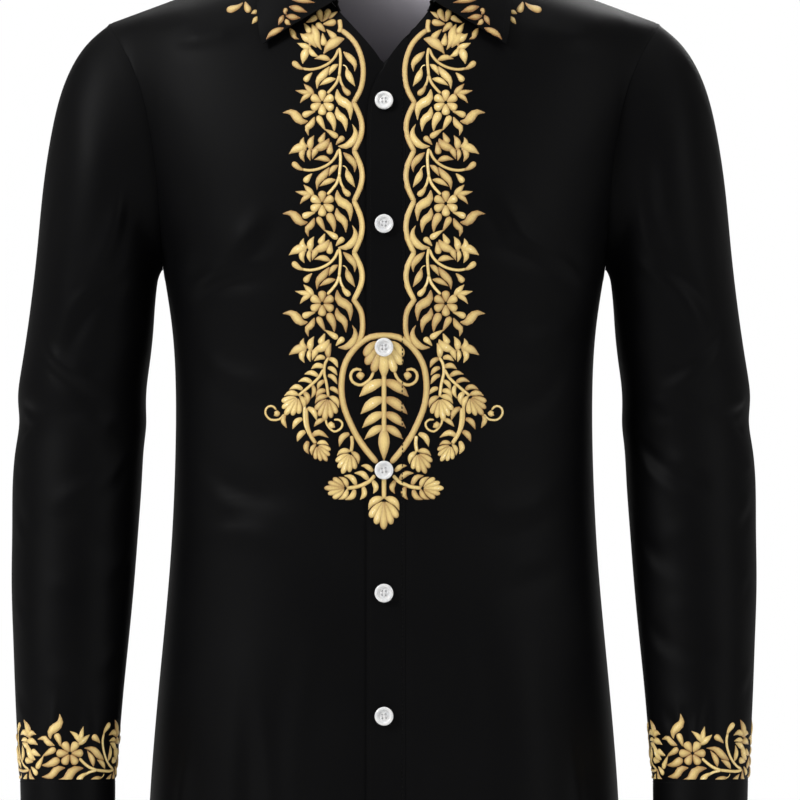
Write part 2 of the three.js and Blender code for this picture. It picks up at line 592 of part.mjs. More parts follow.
const shirt = new THREE.Group();
shirt.name = "barong_tagalog";
function add(name, geometry, finish) {
  const mesh = new THREE.Mesh(geometry, new THREE.MeshStandardMaterial(finishes[finish]));
  mesh.name = name;
  shirt.add(mesh);
}
add("back", wallGeometry(back, CLOTH), "cloth");
add("front_left", wallGeometry(frontLeft, CLOTH), "cloth");
add("front_right", wallGeometry(frontRight, CLOTH), "cloth");
add("placket", wallGeometry(placket, CLOTH), "cloth");
add("sleeve_left", wallGeometry(sleeveLeft, CLOTH), "cloth");
add("sleeve_right", wallGeometry(sleeveRight, CLOTH), "cloth");
add("cuff_left", wallGeometry(cuffPanel(1), CUFF_CLOTH), "cloth");
add("cuff_right", wallGeometry(cuffPanel(-1), CUFF_CLOTH), "cloth");
add("collar_stand", wallGeometry({ grid: standGrid, normals: standNormals }, COLLAR_CLOTH), "cloth");
add("collar", wallGeometry({ grid: leafGrid, normals: leafNormals }, COLLAR_CLOTH), "cloth");

// A button, laid on a place with its face in the given direction.
function buttonGeometry(diameter, place, direction) {
  const section = BUTTON_SECTION.map((row) =>
    new THREE.Vector2((row.radius * diameter) / 2, (row.height * diameter) / 2));
  const geometry = new THREE.LatheGeometry(section, BUTTON_SIDES);
  const up = new THREE.Vector3(0, 1, 0);
  geometry.applyQuaternion(new THREE.Quaternion().setFromUnitVectors(up, direction));
  const seat = place.clone().addScaledVector(direction, SEAM_GAP + 0.1);
  return geometry.translate(seat.x, seat.y, seat.z);
}

// The place and the direction of a panel's surface that a line along Y meets. A line that falls in
// the gap of a seam is moved to the cloth beside it.
function onPanel(panels, x, z) {
  const found = meetPanel(panels, x, z) ?? meetPanel(panels, x + SEAM_GAP, z);
  if (!found) throw new Error(`no cloth at ${x}, ${z}`);
  return found;
}
function meetPanel(panels, x, z) {
  const ray = new THREE.Ray(new THREE.Vector3(x, -400, z), new THREE.Vector3(0, 1, 0));
  const hit = new THREE.Vector3();
  for (const { grid } of panels)
    for (let i = 0; i + 1 < grid.length; i += 1)
      for (let j = 0; j + 1 < grid[0].length; j += 1) {
        const corners = [grid[i][j], grid[i][j + 1], grid[i + 1][j + 1], grid[i + 1][j]];
        for (const [a, b, c] of [[0, 1, 2], [0, 2, 3]]) {
          if (!ray.intersectTriangle(corners[a], corners[b], corners[c], false, hit)) continue;
          const triangle = new THREE.Triangle(corners[a], corners[b], corners[c]);
          const normal = triangle.getNormal(new THREE.Vector3());
          if (normal.y > 0) normal.negate();
          return { point: hit.clone(), normal };
        }
      }
  return null;
}

for (let k = 0; k < BUTTON.count; k += 1) {
  const seat = onPanel([placket], 0, BUTTON.firstZ - k * BUTTON.pitch);
  add(`button_${k + 1}`, buttonGeometry(BUTTON.diameter, seat.point, seat.normal), "pearl");
}
for (const [name, mirror] of [["cuff_button_left", 1], ["cuff_button_right", -1]]) {
  const middle = {};
  for (const key of Object.keys(CUFF_SECTIONS[0]))
    middle[key] = (CUFF_SECTIONS[1][key] + CUFF_SECTIONS[2][key]) / 2;
  const turn = 2 * Math.PI + CUFF.overlapAngle * 0.42;
  const place = cuffPoint(middle, turn, mirror);
  const direction = cuffPoint(middle, turn, mirror, 10).sub(place).normalize();
  place.addScaledVector(direction, 0.7);
  add(name, buttonGeometry(CUFF_BUTTON_DIAMETER, place, direction), "pearl");
}

// A padded cord laid on the fronts along a line of points seen from the front.
function cordGeometry(line, panels) {
  const sections = line.map((p, k) => {
    const before = line[Math.max(k - 1, 0)];
    const after = line[Math.min(k + 1, line.length - 1)];
    const along = new THREE.Vector2(after.x - before.x, after.z - before.z).normalize();
    const place = (across, height) => {
      const { point, normal } = onPanel(panels, p.x - along.y * across, p.z + along.x * across);
      return point.addScaledVector(normal, CORD.gap + height);
    };
    const half = CORD.width / 2;
    const crown = half * 0.55;
    return [place(-half, 0), place(half, 0), place(crown, CORD.height), place(-crown, CORD.height)];
  });
  const positions = sections.flat().flatMap((p) => [p.x, p.y, p.z]);
  const triangles = [];
  for (let k = 0; k + 1 < sections.length; k += 1)
    for (let s = 0; s < 4; s += 1) {
      const a = 4 * k + s;
      const b = 4 * k + ((s + 1) % 4);
      triangles.push(a, b, b + 4, a, b + 4, a + 4);
    }
  const end = 4 * (sections.length - 1);
  triangles.push(0, 2, 1, 0, 3, 2, end, end + 1, end + 2, end, end + 2, end + 3);
  return new THREE.BufferGeometry()
    .setAttribute("position", new THREE.Float32BufferAttribute(positions, 3))
    .setIndex(triangles);
}

function evenLine(points) {
  const curve = new THREE.CatmullRomCurve3(
    points.map((p) => new THREE.Vector3(p.x, 0, p.z)), false, "catmullrom", 0.5);
  return curve.getSpacedPoints(Math.round(curve.getLength() / CORD.step));
}
const scallops = CUSPS.flatMap((cusp, k) => {
  const next = CUSPS[k + 1];
  if (!next) return [cusp];
  return [0, 0.2, 0.4, 0.6, 0.8].map((s) => ({
    x: cusp.x + (next.x - cusp.x) * s - SCALLOP_DEPTH * Math.sin(Math.PI * s),
    z: cusp.z + (next.z - cusp.z) * s,
  }));
});
const across = (line) => line.map((p) => ({ x: -p.x, z: p.z }));
const leftFronts = [frontLeft, placket];
add("scallop_cord_left", cordGeometry(scallops, leftFronts), "thread");
add("scallop_cord_right", cordGeometry(across(scallops), [frontRight]), "thread");
const rim = evenLine(MEDALLION_RIM);
add("medallion_cord_left", cordGeometry(rim, leftFronts), "thread");
const rightRim = across(rim.filter((p) => p.x > MEDALLION_SPLIT));
add("medallion_cord_right", cordGeometry(rightRim, [frontRight]), "thread");

// A padded flower laid on a front: rings of points round its middle, back and face.
function flowerGeometry(x, z, panels) {
  const sides = FLOWER.petals * 4;
  const edge = range(0, sides - 1).map((k) => {
    const angle = (2 * Math.PI * k) / sides;
    const lobe = Math.abs(Math.cos((FLOWER.petals * angle) / 2));
    const radius = FLOWER.radius * (0.68 + 0.32 * lobe ** 0.7);
    return { dx: radius * Math.cos(angle), dz: radius * Math.sin(angle) };
  });
  const place = (dx, dz, height) => {
    const { point, normal } = onPanel(panels, x + dx, z + dz);
    return point.addScaledVector(normal, FLOWER.gap + height);
  };
  const points = [place(0, 0, 0)];
  for (const p of edge) points.push(place(p.dx, p.dz, 0));
  for (const p of edge) points.push(place(p.dx * 0.62, p.dz * 0.62, FLOWER.height * 0.75));
  points.push(place(0, 0, FLOWER.height));
  const triangles = [];
  const last = points.length - 1;
  for (let k = 0; k < sides; k += 1) {
    const a = 1 + k;
    const b = 1 + ((k + 1) % sides);
    triangles.push(0, b, a);
    triangles.push(a, b + sides, a + sides, a, b, b + sides);
    triangles.push(last, a + sides, b + sides);
  }
  return new THREE.BufferGeometry()
    .setAttribute("position", new THREE.Float32BufferAttribute(points.flatMap((p) => [p.x, p.y, p.z]), 3))
    .setIndex(triangles);
}
FLOWER_LEVELS.forEach((z, k) => {
  add(`flower_left_${k + 1}`, flowerGeometry(FLOWER.x, z, leftFronts), "thread");
  add(`flower_right_${k + 1}`, flowerGeometry(-FLOWER.x, z, [frontRight]), "thread");
});

export default shirt;
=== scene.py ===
# %% [markdown]
# # A black barong tagalog with a gold vine
# This lesson dresses the imported shirt. The solids already have the garment's true shape, so each
# cut panel starts as a copy of its own solid, is thinned to real cloth, and gets its creases. The
# gold work is then sewn on as padded stitches, and the buttons are turned from pearl.

# %% Load the imported shirt
import json
import math
import bmesh
import bpy
import numpy as np
from mathutils import Matrix, Vector
from mathutils.bvhtree import BVHTree

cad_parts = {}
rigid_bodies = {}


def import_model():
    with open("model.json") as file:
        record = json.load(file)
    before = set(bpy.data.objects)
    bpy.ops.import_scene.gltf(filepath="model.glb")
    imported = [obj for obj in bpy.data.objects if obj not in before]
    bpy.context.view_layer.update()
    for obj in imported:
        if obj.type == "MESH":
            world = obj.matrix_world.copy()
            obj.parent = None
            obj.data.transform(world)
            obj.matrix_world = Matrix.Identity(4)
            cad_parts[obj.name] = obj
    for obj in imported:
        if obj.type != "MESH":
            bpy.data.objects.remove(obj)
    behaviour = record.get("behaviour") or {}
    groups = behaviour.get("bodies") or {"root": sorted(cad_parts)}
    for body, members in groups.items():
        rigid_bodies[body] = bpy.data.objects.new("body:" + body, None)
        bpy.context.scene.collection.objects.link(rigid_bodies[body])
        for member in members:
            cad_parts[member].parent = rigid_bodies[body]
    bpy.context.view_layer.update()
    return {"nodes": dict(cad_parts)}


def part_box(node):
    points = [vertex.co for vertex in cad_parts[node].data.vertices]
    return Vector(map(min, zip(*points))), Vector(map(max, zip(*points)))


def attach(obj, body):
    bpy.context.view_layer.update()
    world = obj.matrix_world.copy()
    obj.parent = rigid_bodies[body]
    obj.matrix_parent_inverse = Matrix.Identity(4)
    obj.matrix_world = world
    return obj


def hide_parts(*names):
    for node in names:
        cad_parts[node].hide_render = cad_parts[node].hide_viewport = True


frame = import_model()

# %% [markdown]
# ## Camera, floor and light
# The photograph looks straight at the front from far away, so a long lens does the same here. The
# shirt hangs before plain white: a white sky gives soft light from all round, a pale round floor
# lies under it, and large soft lamps from both sides, behind and above bring out the stitches. The
# inside of the neck is brighter on its right, which one very small lamp within the neck gives.

# %% Camera
PICTURE_MIDDLE = (0.0128, -0.360)
PICTURE_WIDTH = 0.64
CAMERA_DISTANCE = 15.0
CHEST_Y = -0.1

bpy.ops.object.camera_add(
    location=(PICTURE_MIDDLE[0], CHEST_Y - CAMERA_DISTANCE, PICTURE_MIDDLE[1]),
    rotation=(math.radians(90), 0, 0),
)
camera = bpy.context.object
camera.data.lens = camera.data.sensor_width * CAMERA_DISTANCE / PICTURE_WIDTH
camera.data.clip_end = 60
bpy.context.scene.camera = camera
print("lens", round(camera.data.lens), "mm")

# %% Wires that do maths
class Wire:
    """One value on its way through a shader, so that its maths can be written as maths."""

    def __init__(self, board, socket):
        self.board, self.socket = board, socket

    def maths(self, operation, *values):
        inputs = dict(enumerate((self, *values)))
        return self.board.add("ShaderNodeMath", {"operation": operation}, inputs)

    def __add__(self, other): return self.maths("ADD", other)
    def __sub__(self, other): return self.maths("SUBTRACT", other)
    def __mul__(self, other): return self.maths("MULTIPLY", other)
    def __truediv__(self, other): return self.maths("DIVIDE", other)
    def __radd__(self, other): return self.maths("ADD", other)
    def __rmul__(self, other): return self.maths("MULTIPLY", other)
    def clamped(self): return self.board.add("ShaderNodeClamp", {}, {0: self})

    def __rsub__(self, other):
        return self.board.add("ShaderNodeMath", {"operation": "SUBTRACT"}, {0: other, 1: self})


class Board:
    """A material and the nodes on it."""

    def __init__(self, name):
        self.material = bpy.data.materials.new(name)
        self.material.use_nodes = True
        self.tree = self.material.node_tree
        self.shader = self.tree.nodes["Principled BSDF"]

    def add(self, kind, settings=None, inputs=None, output=0):
        node = self.tree.nodes.new(kind)
        for key, value in (settings or {}).items():
            if key == "stops":
                self.set_ramp(node.color_ramp.elements, value)
            else:
                setattr(node, key, value)
        for key, value in (inputs or {}).items():
            self.feed(node.inputs[key], value)
        return Wire(self, node.outputs[output])

    def set_ramp(self, elements, stops):
        for place, _ in stops[1:-1]:
            elements.new(place)
        for element, (place, colour) in zip(elements, stops):
            element.position, element.color = place, (*colour, 1)

    def feed(self, socket, value):
        if isinstance(value, Wire):
            self.tree.links.new(value.socket, socket)
        elif hasattr(value, "__len__") and len(value) == 3 and socket.type == "RGBA":
            socket.default_value = (*value, 1)
        else:
            socket.default_value = value

    def finish(self, **sockets):
        for name, value in sockets.items():
            self.feed(self.shader.inputs[name.replace("_", " ")], value)
        return self.material

    def mix(self, share, first, second):
        return self.add("ShaderNodeMix", {"data_type": "RGBA"}, {0: share, 6: first, 7: second}, 2)


# %% Pick a piece and open it
def deselect_all():
    if bpy.context.object and bpy.context.object.mode == "EDIT":
        bpy.ops.object.mode_set(mode="OBJECT")
    bpy.ops.object.select_all(action="DESELECT")


def make_active(piece):
    deselect_all()
    piece.select_set(True)
    bpy.context.view_layer.objects.active = piece


def open_piece(piece, choose="SELECT"):
    """Starts to edit a piece, with all of it selected or none."""
    make_active(piece)
    bpy.ops.object.mode_set(mode="EDIT")
    bpy.ops.mesh.select_all(action=choose)


def close_piece():
    bpy.ops.object.mode_set(mode="OBJECT")


def hang(name, mesh):
    """A new piece with the mesh, in the scene."""
    piece = bpy.data.objects.new(name, mesh)
    bpy.context.collection.objects.link(piece)
    return piece

# %% Floor
FLOOR_Z = -0.86
FLOOR_RADIUS = 2.7

deselect_all()
bpy.ops.mesh.primitive_circle_add(
    vertices=96, radius=FLOOR_RADIUS, fill_type="NGON", location=(0, 0, FLOOR_Z))
floor = bpy.context.object
floor.name = "studio_floor"
floor.data.materials.append(Board("pale_floor").finish(Base_Color=(0.86, 0.86, 0.86), Roughness=0.9))
print(floor.name, "at", FLOOR_Z, "m")

# %% White sky
SKY_SEEN = ((1, 1, 1, 1), 1.0)
SKY_SHINING = ((1, 0.99, 0.97, 1), 0.30)

sky = bpy.data.worlds.new("white_sky")
sky.use_nodes = True
seen = sky.node_tree.nodes["Background"]
shining = sky.node_tree.nodes.new("ShaderNodeBackground")
for background, (colour, strength) in ((seen, SKY_SEEN), (shining, SKY_SHINING)):
    background.inputs["Color"].default_value = colour
    background.inputs["Strength"].default_value = strength
ray = sky.node_tree.nodes.new("ShaderNodeLightPath")
both = sky.node_tree.nodes.new("ShaderNodeMixShader")
sky.node_tree.links.new(ray.outputs["Is Camera Ray"], both.inputs[0])
sky.node_tree.links.new(shining.outputs[0], both.inputs[1])
sky.node_tree.links.new(seen.outputs[0], both.inputs[2])
sky.node_tree.links.new(both.outputs[0], sky.node_tree.nodes["World Output"].inputs["Surface"])
bpy.context.scene.world = sky
bpy.context.scene.view_settings.view_transform = "Standard"
print(sky.name, "shines at", SKY_SHINING[1])

# %% Lamps
CHEST = (0, 0, -0.35)
LAMPS = [
    # name, place, aim, size, watts
    ("left_softbox", (-2.9, -2.0, 1.9), CHEST, 1.1, 165),
    ("right_softbox", (2.9, -2.0, 0.7), CHEST, 1.6, 45),
    ("back_softbox", (0.6, 3.2, 1.6), CHEST, 2.2, 70),
    ("ceiling_softbox", (0, 0, 4.0), CHEST, 6.0, 150),
    ("neck_lamp", (0.044, 0.040, -0.010), (0.052, 0.09, -0.014), 0.02, 0.027),
]
for name, place, aim, size, watts in LAMPS:
    bpy.ops.object.light_add(type="AREA", location=place)
    lamp = bpy.context.object
    lamp.name, lamp.data.size, lamp.data.energy = name, size, watts
    lamp.rotation_euler = (Vector(aim) - Vector(place)).to_track_quat("-Z", "Y").to_euler()
    lamp.visible_camera = False
print(len(LAMPS), "lamps")

# %% [markdown]
# ## The cloth
# The real shirt is smooth black cloth with a pale wrong side, which shows only inside the neck.
# A print or a flat colour would look like paper, so the face gets a fine weave in its bumps, read
# from the flat pattern of each panel, and a faint unevenness in how it catches the light. Painted
# shade darkens the wrong side's colour the deeper it lies in the shirt, where little light gets down.

# %% Black cloth and its wrong side
WEAVE = 1400  # threads a metre that the bumps show
# The wrong side's painted shade is darkest this far below the neck hole.
PAINTED_SHADE_LEVEL = 0.09  # metres below the neck hole where the wrong side is darkest


def cloth_material(name, colour, worn_and_lit_colour, roughness, weave_depth, painted_depth_shade=False):
    board = Board(name)
    flat = board.add("ShaderNodeUVMap", {"uv_map": "Pattern"})
    place = board.add("ShaderNodeTexCoord", {}, {}, "Object")
    cloud = board.add("ShaderNodeTexNoise", {}, {"Vector": place, "Scale": 9.0, "Detail": 4.0})
    slub = board.add("ShaderNodeTexNoise", {}, {"Vector": flat, "Scale": 420.0, "Detail": 2.0})
    across = board.add("ShaderNodeSeparateXYZ", {}, {0: flat}, 0)
    along = board.add("ShaderNodeSeparateXYZ", {}, {0: flat}, 1)
    warp = (across * (WEAVE * math.pi)).maths("SINE").maths("ABSOLUTE")
    weft = (along * (WEAVE * math.pi)).maths("SINE").maths("ABSOLUTE")
    over = ((across + along) * (WEAVE * math.pi / 2)).maths("SINE") * 0.5 + 0.5
    weave = warp * over + weft * (1 - over) + slub * 0.6
    bump = board.add("ShaderNodeBump", {}, {"Strength": 0.35, "Distance": weave_depth, "Height": weave})
    tint = (cloud * 1.6 - 0.3).clamped()
    # Painted shade: on the wrong side the colour darkens with depth in the shirt, with a little random
    # unevenness.
    if painted_depth_shade:
        level = board.add("ShaderNodeSeparateXYZ", {}, {0: place}, 2)
        tint = ((level + PAINTED_SHADE_LEVEL) * 16 + cloud * 0.2 - 0.1).clamped()
    return board.finish(
        Base_Color=board.mix(tint, colour, worn_and_lit_colour),
        Roughness=roughness + cloud * 0.12,
        Normal=bump,
        Specular_IOR_Level=0.05,
    )


black_cloth = cloth_material(
    "black_cloth", (0.0008, 0.0008, 0.0010), (0.0018, 0.0018, 0.0020), 0.46, 0.00010)
wrong_side = cloth_material(
    "wrong_side_cloth", (0.14, 0.13, 0.15), (0.46, 0.44, 0.48), 0.8, 0.00012, painted_depth_shade=True)
print(black_cloth.name, wrong_side.name)

# %% [markdown]
# ## The panels
# A cut panel is one layer of cloth. Its solid is a thicker closed wall, so the copy keeps only the
# wall's outer side: the rims are found by their sharp edges, and what lies beyond them is deleted.
# The flat pattern is unwrapped before the cloth is made smooth, which also gives the size that the
# piece was cut to.

# %% Take the outer side of a wall
RIM_ANGLE = math.radians(50)
SQUARE_ANGLE = math.radians(60)
ONE_POINT = 2e-5
SLIVER = 2e-5  # square metres; a smaller face doesn't say which side it is on


def outer_side(node, name, towards):
    """A copy of a cloth solid's outer side, as a sheet of squares. towards is a way out of it."""
    piece = hang(name, frame["nodes"][node].data.copy())
    piece.data.materials.clear()
    open_piece(piece)
    bpy.ops.mesh.select_mode(type="VERT")
    bpy.ops.mesh.select_all(action="SELECT")
    bpy.ops.mesh.remove_doubles(threshold=ONE_POINT)
    bpy.ops.mesh.select_all(action="DESELECT")
    bpy.ops.mesh.select_mode(type="EDGE")
    bpy.ops.mesh.edges_select_sharp(sharpness=RIM_ANGLE)
    bpy.ops.mesh.mark_sharp()
    bpy.ops.mesh.select_all(action="DESELECT")
    bpy.ops.mesh.select_mode(type="FACE")
    close_piece()
    way = Vector(towards)
    facing = [f for f in piece.data.polygons if f.normal.dot(way) > 0.8 and f.area > SLIVER]
    max(facing, key=lambda f: f.center.dot(way)).select = True
    bpy.ops.object.mode_set(mode="EDIT")
    bpy.ops.mesh.select_linked(delimit={"SHARP"})
    bpy.ops.mesh.select_all(action="INVERT")
    bpy.ops.mesh.delete(type="FACE")
    bpy.ops.mesh.select_all(action="SELECT")
    bpy.ops.mesh.tris_convert_to_quads(face_threshold=SQUARE_ANGLE, shape_threshold=SQUARE_ANGLE)
    bpy.ops.mesh.select_mode(type="EDGE")
    bpy.ops.mesh.mark_sharp(clear=True)
    bpy.ops.mesh.select_mode(type="VERT")
    close_piece()
    return piece

# %% Read and move a mesh's corners
def corners(mesh):
    points = np.empty(3 * len(mesh.vertices))
    mesh.vertices.foreach_get("co", points)
    return points.reshape(-1, 3)


def move_corners(mesh, points):
    mesh.vertices.foreach_set("co", points.ravel())
    mesh.update()


def corner_normals(mesh):
    normals = np.empty(3 * len(mesh.vertices))
    mesh.vertex_normals.foreach_get("vector", normals)
    return normals.reshape(-1, 3)


def rim_of(mesh):
    """The mesh's open edges, as pairs of corners."""
    uses = {}
    for face in mesh.polygons:
        for key in face.edge_keys:
            uses[key] = uses.get(key, 0) + 1
    return np.array([key for key, count in uses.items() if count == 1])


# %% Open a sleeve along its seam
def open_tube(piece):
    """Marks the seam of a sleeve, from the underarm down its inner side to the wrist."""
    points, edge = corners(piece.data), np.unique(rim_of(piece.data))
    level = points[edge, 2].mean()
    underarm = min((v for v in edge if points[v, 2] > level), key=lambda v: points[v, 2])
    wrist = min((v for v in edge if points[v, 2] < level), key=lambda v: abs(points[v, 0]))
    open_piece(piece, "DESELECT")
    close_piece()
    for end in (underarm, wrist):
        piece.data.vertices[end].select = True
    bpy.ops.object.mode_set(mode="EDIT")
    bpy.ops.mesh.shortest_path_select()
    bpy.ops.mesh.mark_seam()
    close_piece()
    print(piece.name, "seam of", sum(e.use_seam for e in piece.data.edges), "edges")

# %% Flatten a panel to its cut
def turned(flat, angle):
    cosine, sine = math.cos(angle), math.sin(angle)
    return flat @ np.array([[cosine, -sine], [sine, cosine]])


def owners(mesh):
    """The corner that each point of a flat map belongs to."""
    owner = np.empty(len(mesh.loops), int)
    mesh.loops.foreach_get("vertex_index", owner)
    return owner


def on_grain(flat, heights):
    """A flat cut turned so that the shirt's heights run up it, in the smallest upright rectangle."""
    up = np.linalg.lstsq(np.c_[flat, np.ones(len(flat))], heights, rcond=None)[0][:2]
    up /= np.linalg.norm(up)
    flat = np.c_[flat @ np.array([up[1], -up[0]]), flat @ up]
    angles = np.radians(np.arange(-8, 8.1, 0.25))
    return turned(flat, min(angles, key=lambda angle: np.prod(np.ptp(turned(flat, angle), axis=0))))


def flatten(piece):
    """Unwraps the sheet to its true size, and returns its flat width, length and area."""
    open_piece(piece)
    bpy.ops.uv.unwrap(method="ANGLE_BASED", margin=0)
    close_piece()
    mesh = piece.data
    pattern = mesh.uv_layers[0]
    pattern.name = "Pattern"
    flat = np.empty(2 * len(mesh.loops))
    pattern.data.foreach_get("uv", flat)
    flat = flat.reshape(-1, 2)
    real = corners(mesh)[owners(mesh)]
    a, b, c = np.array([f.loop_indices[:3] for f in mesh.polygons]).T
    flat_area = np.abs(np.cross(flat[b] - flat[a], flat[c] - flat[a])).sum()
    real_area = np.linalg.norm(np.cross(real[b] - real[a], real[c] - real[a]), axis=1).sum()
    flat *= math.sqrt(real_area / flat_area)
    flat = on_grain(flat - flat.mean(axis=0), real[:, 2])
    pattern.data.foreach_set("uv", flat.ravel())
    width, length = flat.max(axis=0) - flat.min(axis=0)
    area = sum(f.area for f in mesh.polygons)
    return float(width), float(length), float(area)

# %% [markdown]
# ## Creases
# A filled shirt pulls from the underarm, drapes from the chest, breaks at the elbow and hangs in
# soft flutes to the hem. Each crease is put in as a line from one point to another, with
# its own width and depth, deeper in its middle, bowed a little, and with a shallower fellow that
# goes the other way close beside it, as cloth does when it buckles. The same lines reach every
# panel near them, so a crease runs on across a seam, and the back has its own.

# %% Crease lines
# from x, y, z, to x, y, z, width, height (below zero is a trough), bow, all in millimetres
CREASES = [
    (150, -75, -262, 92, -112, -196, 9, 1.8, 7),
    (158, -66, -272, 84, -114, -236, 8, -1.6, -6),
    (160, -60, -292, 104, -104, -318, 9, 1.5, 5),
    (155, -66, -330, 92, -108, -372, 11, -1.8, 9),
    (-152, -73, -268, -98, -110, -210, 10, 1.6, -6),
    (-158, -66, -282, -90, -112, -262, 8, -1.5, 5),
    (-156, -66, -318, -88, -109, -350, 10, 1.7, -8),
    (150, -76, -430, 62, -112, -446, 12, 1.6, 10),
    (-154, -70, -410, -70, -112, -438, 12, -1.7, -9),
    (-150, -72, -470, -80, -110, -478, 10, 1.2, 8),
    (152, -74, -500, 98, -106, -520, 10, -1.3, -7),
    (60, -114, -520, 66, -116, -700, 13, 1.7, 8),
    (-62, -114, -560, -70, -116, -768, 14, 2.0, -8),
    (-112, -100, -600, -118, -104, -768, 13, -2.0, 6),
    (-36, -118, -640, -38, -120, -768, 11, -1.0, 4),
    (40, -117, -660, 44, -119, -768, 12, -1.3, -4),
    (150, -70, -640, 156, -72, -768, 12, 1.6, 5),
    (-158, -66, -640, -166, -66, -768, 12, 1.8, -5),
    (196, -60, -92, 168, -92, -160, 12, 1.5, 7),
    (-194, -62, -96, -170, -90, -150, 12, -1.4, -6),
    (170, -60, -70, 110, -66, -58, 10, 0.9, 5),
    (-168, -60, -70, -112, -64, -60, 10, 1.0, -5),
    (150, 78, -262, 88, 112, -190, 11, 2.0, -8),
    (158, 66, -276, 96, 108, -250, 9, -1.7, 6),
    (-150, 78, -266, -84, 112, -200, 11, 1.9, 8),
    (-156, 66, -288, -104, 106, -300, 9, -1.6, -6),
    (60, 112, -120, 30, 116, -300, 16, 1.5, 10),
    (-58, 112, -128, -26, 116, -280, 15, -1.5, -8),
    (152, 72, -380, 60, 112, -412, 13, -2.0, 10),
    (-150, 74, -370, -52, 113, -398, 13, 2.0, -10),
    (-154, 68, -430, -60, 112, -470, 12, -1.7, 9),
    (150, 76, -470, 70, 114, -500, 12, 1.6, -9),
    (20, 118, -420, 24, 122, -768, 16, 2.0, 10),
    (-36, 118, -470, -40, 122, -768, 15, -2.2, -9),
    (-92, 108, -500, -98, 112, -768, 14, 2.0, 8),
    (96, 108, -560, 104, 112, -768, 13, -1.8, -7),
    (152, 76, -600, 160, 78, -768, 12, 1.8, 6),
    (-150, 78, -610, -160, 78, -768, 12, -1.7, -6),
    (262, -44, -120, 272, -40, -250, 10, 1.5, 8),
    (212, -56, -170, 238, -58, -262, 9, -1.6, -7),
    (206, -48, -250, 262, -46, -318, 9, 1.7, 8),
    (276, -34, -300, 214, -48, -344, 8, -1.6, 6),
    (292, -12, -360, 236, -42, -356, 7, 1.7, 5),
    (288, -14, -384, 214, -40, -372, 6, -1.9, -5),
    (296, -10, -412, 232, -45, -408, 7, 1.8, 5),
    (204, -22, -392, 262, -48, -432, 8, -1.6, -6),
    (296, -20, -440, 226, -46, -470, 9, 1.6, 7),
    (206, -28, -470, 262, -50, -500, 9, -1.4, -6),
    (292, -30, -500, 232, -52, -530, 8, 1.3, 6),
    (212, -38, -540, 268, -60, -566, 9, -1.5, -6),
    (292, -38, -580, 236, -62, -606, 8, 1.4, 6),
    (224, -58, -612, 282, -56, -640, 8, -1.2, -5),
    (232, -66, -600, 236, -70, -662, 6, 1.1, 3),
    (262, -68, -596, 260, -72, -662, 6, -1.1, -3),
    (-262, -44, -130, -274, -40, -240, 10, -1.5, -8),
    (-210, -56, -180, -240, -58, -270, 9, 1.6, 7),
    (-206, -48, -262, -258, -48, -330, 9, -1.5, -8),
    (-278, -34, -312, -218, -48, -350, 8, 1.6, -6),
    (-292, -12, -366, -232, -42, -364, 7, -1.8, -5),
    (-288, -14, -390, -216, -40, -380, 6, 1.8, 5),
    (-296, -10, -420, -230, -45, -414, 7, -1.7, -5),
    (-204, -22, -400, -266, -48, -444, 8, 1.5, 6),
    (-296, -20, -452, -222, -46, -480, 9, -1.6, -7),
    (-206, -28, -484, -266, -50, -512, 9, 1.4, 6),
    (-292, -30, -520, -236, -52, -548, 8, -1.3, -6),
    (-212, -38, -556, -266, -60, -584, 9, 1.5, 6),
    (-292, -38, -596, -240, -62, -620, 8, -1.3, -6),
    (-226, -58, -620, -280, -56, -650, 8, 1.1, 5),
    (-238, -66, -604, -240, -70, -662, 6, -1.1, 3),
    (-264, -68, -592, -264, -72, -662, 6, 1.1, -3),
    (262, 60, -130, 270, 64, -270, 11, 1.7, 8),
    (214, 66, -200, 256, 68, -300, 10, -1.7, -7),
    (286, 40, -340, 222, 62, -372, 9, 1.8, 6),
    (288, 40, -400, 216, 60, -392, 9, -1.9, -6),
    (292, 36, -430, 226, 58, -462, 9, 1.6, 7),
    (212, 40, -500, 268, 44, -540, 9, -1.5, -6),
    (290, 22, -570, 232, 24, -600, 9, 1.4, 6),
    (-262, 60, -136, -272, 64, -262, 11, -1.6, -8),
    (-212, 66, -210, -258, 68, -310, 10, 1.7, 7),
    (-288, 40, -350, -224, 62, -384, 9, -1.8, -6),
    (-286, 40, -410, -214, 60, -402, 9, 1.8, 6),
    (-292, 36, -446, -228, 58, -474, 9, -1.5, -7),
    (-212, 40, -512, -266, 44, -552, 9, 1.5, 6),
    (-290, 22, -584, -234, 24, -612, 9, -1.3, -6),
]
print(len(CREASES), "crease lines")

# %% How a crease lifts the cloth
CREASE_DEPTH = 1.7
OVERRUN, FADE = 0.15, 0.45  # shares of a line: how far it runs past its ends, and how soon it is full
FELLOW_AWAY, FELLOW_WIDTH, FELLOW_DEPTH = 1.5, 0.8, 0.6  # shares of the crease's own width and depth


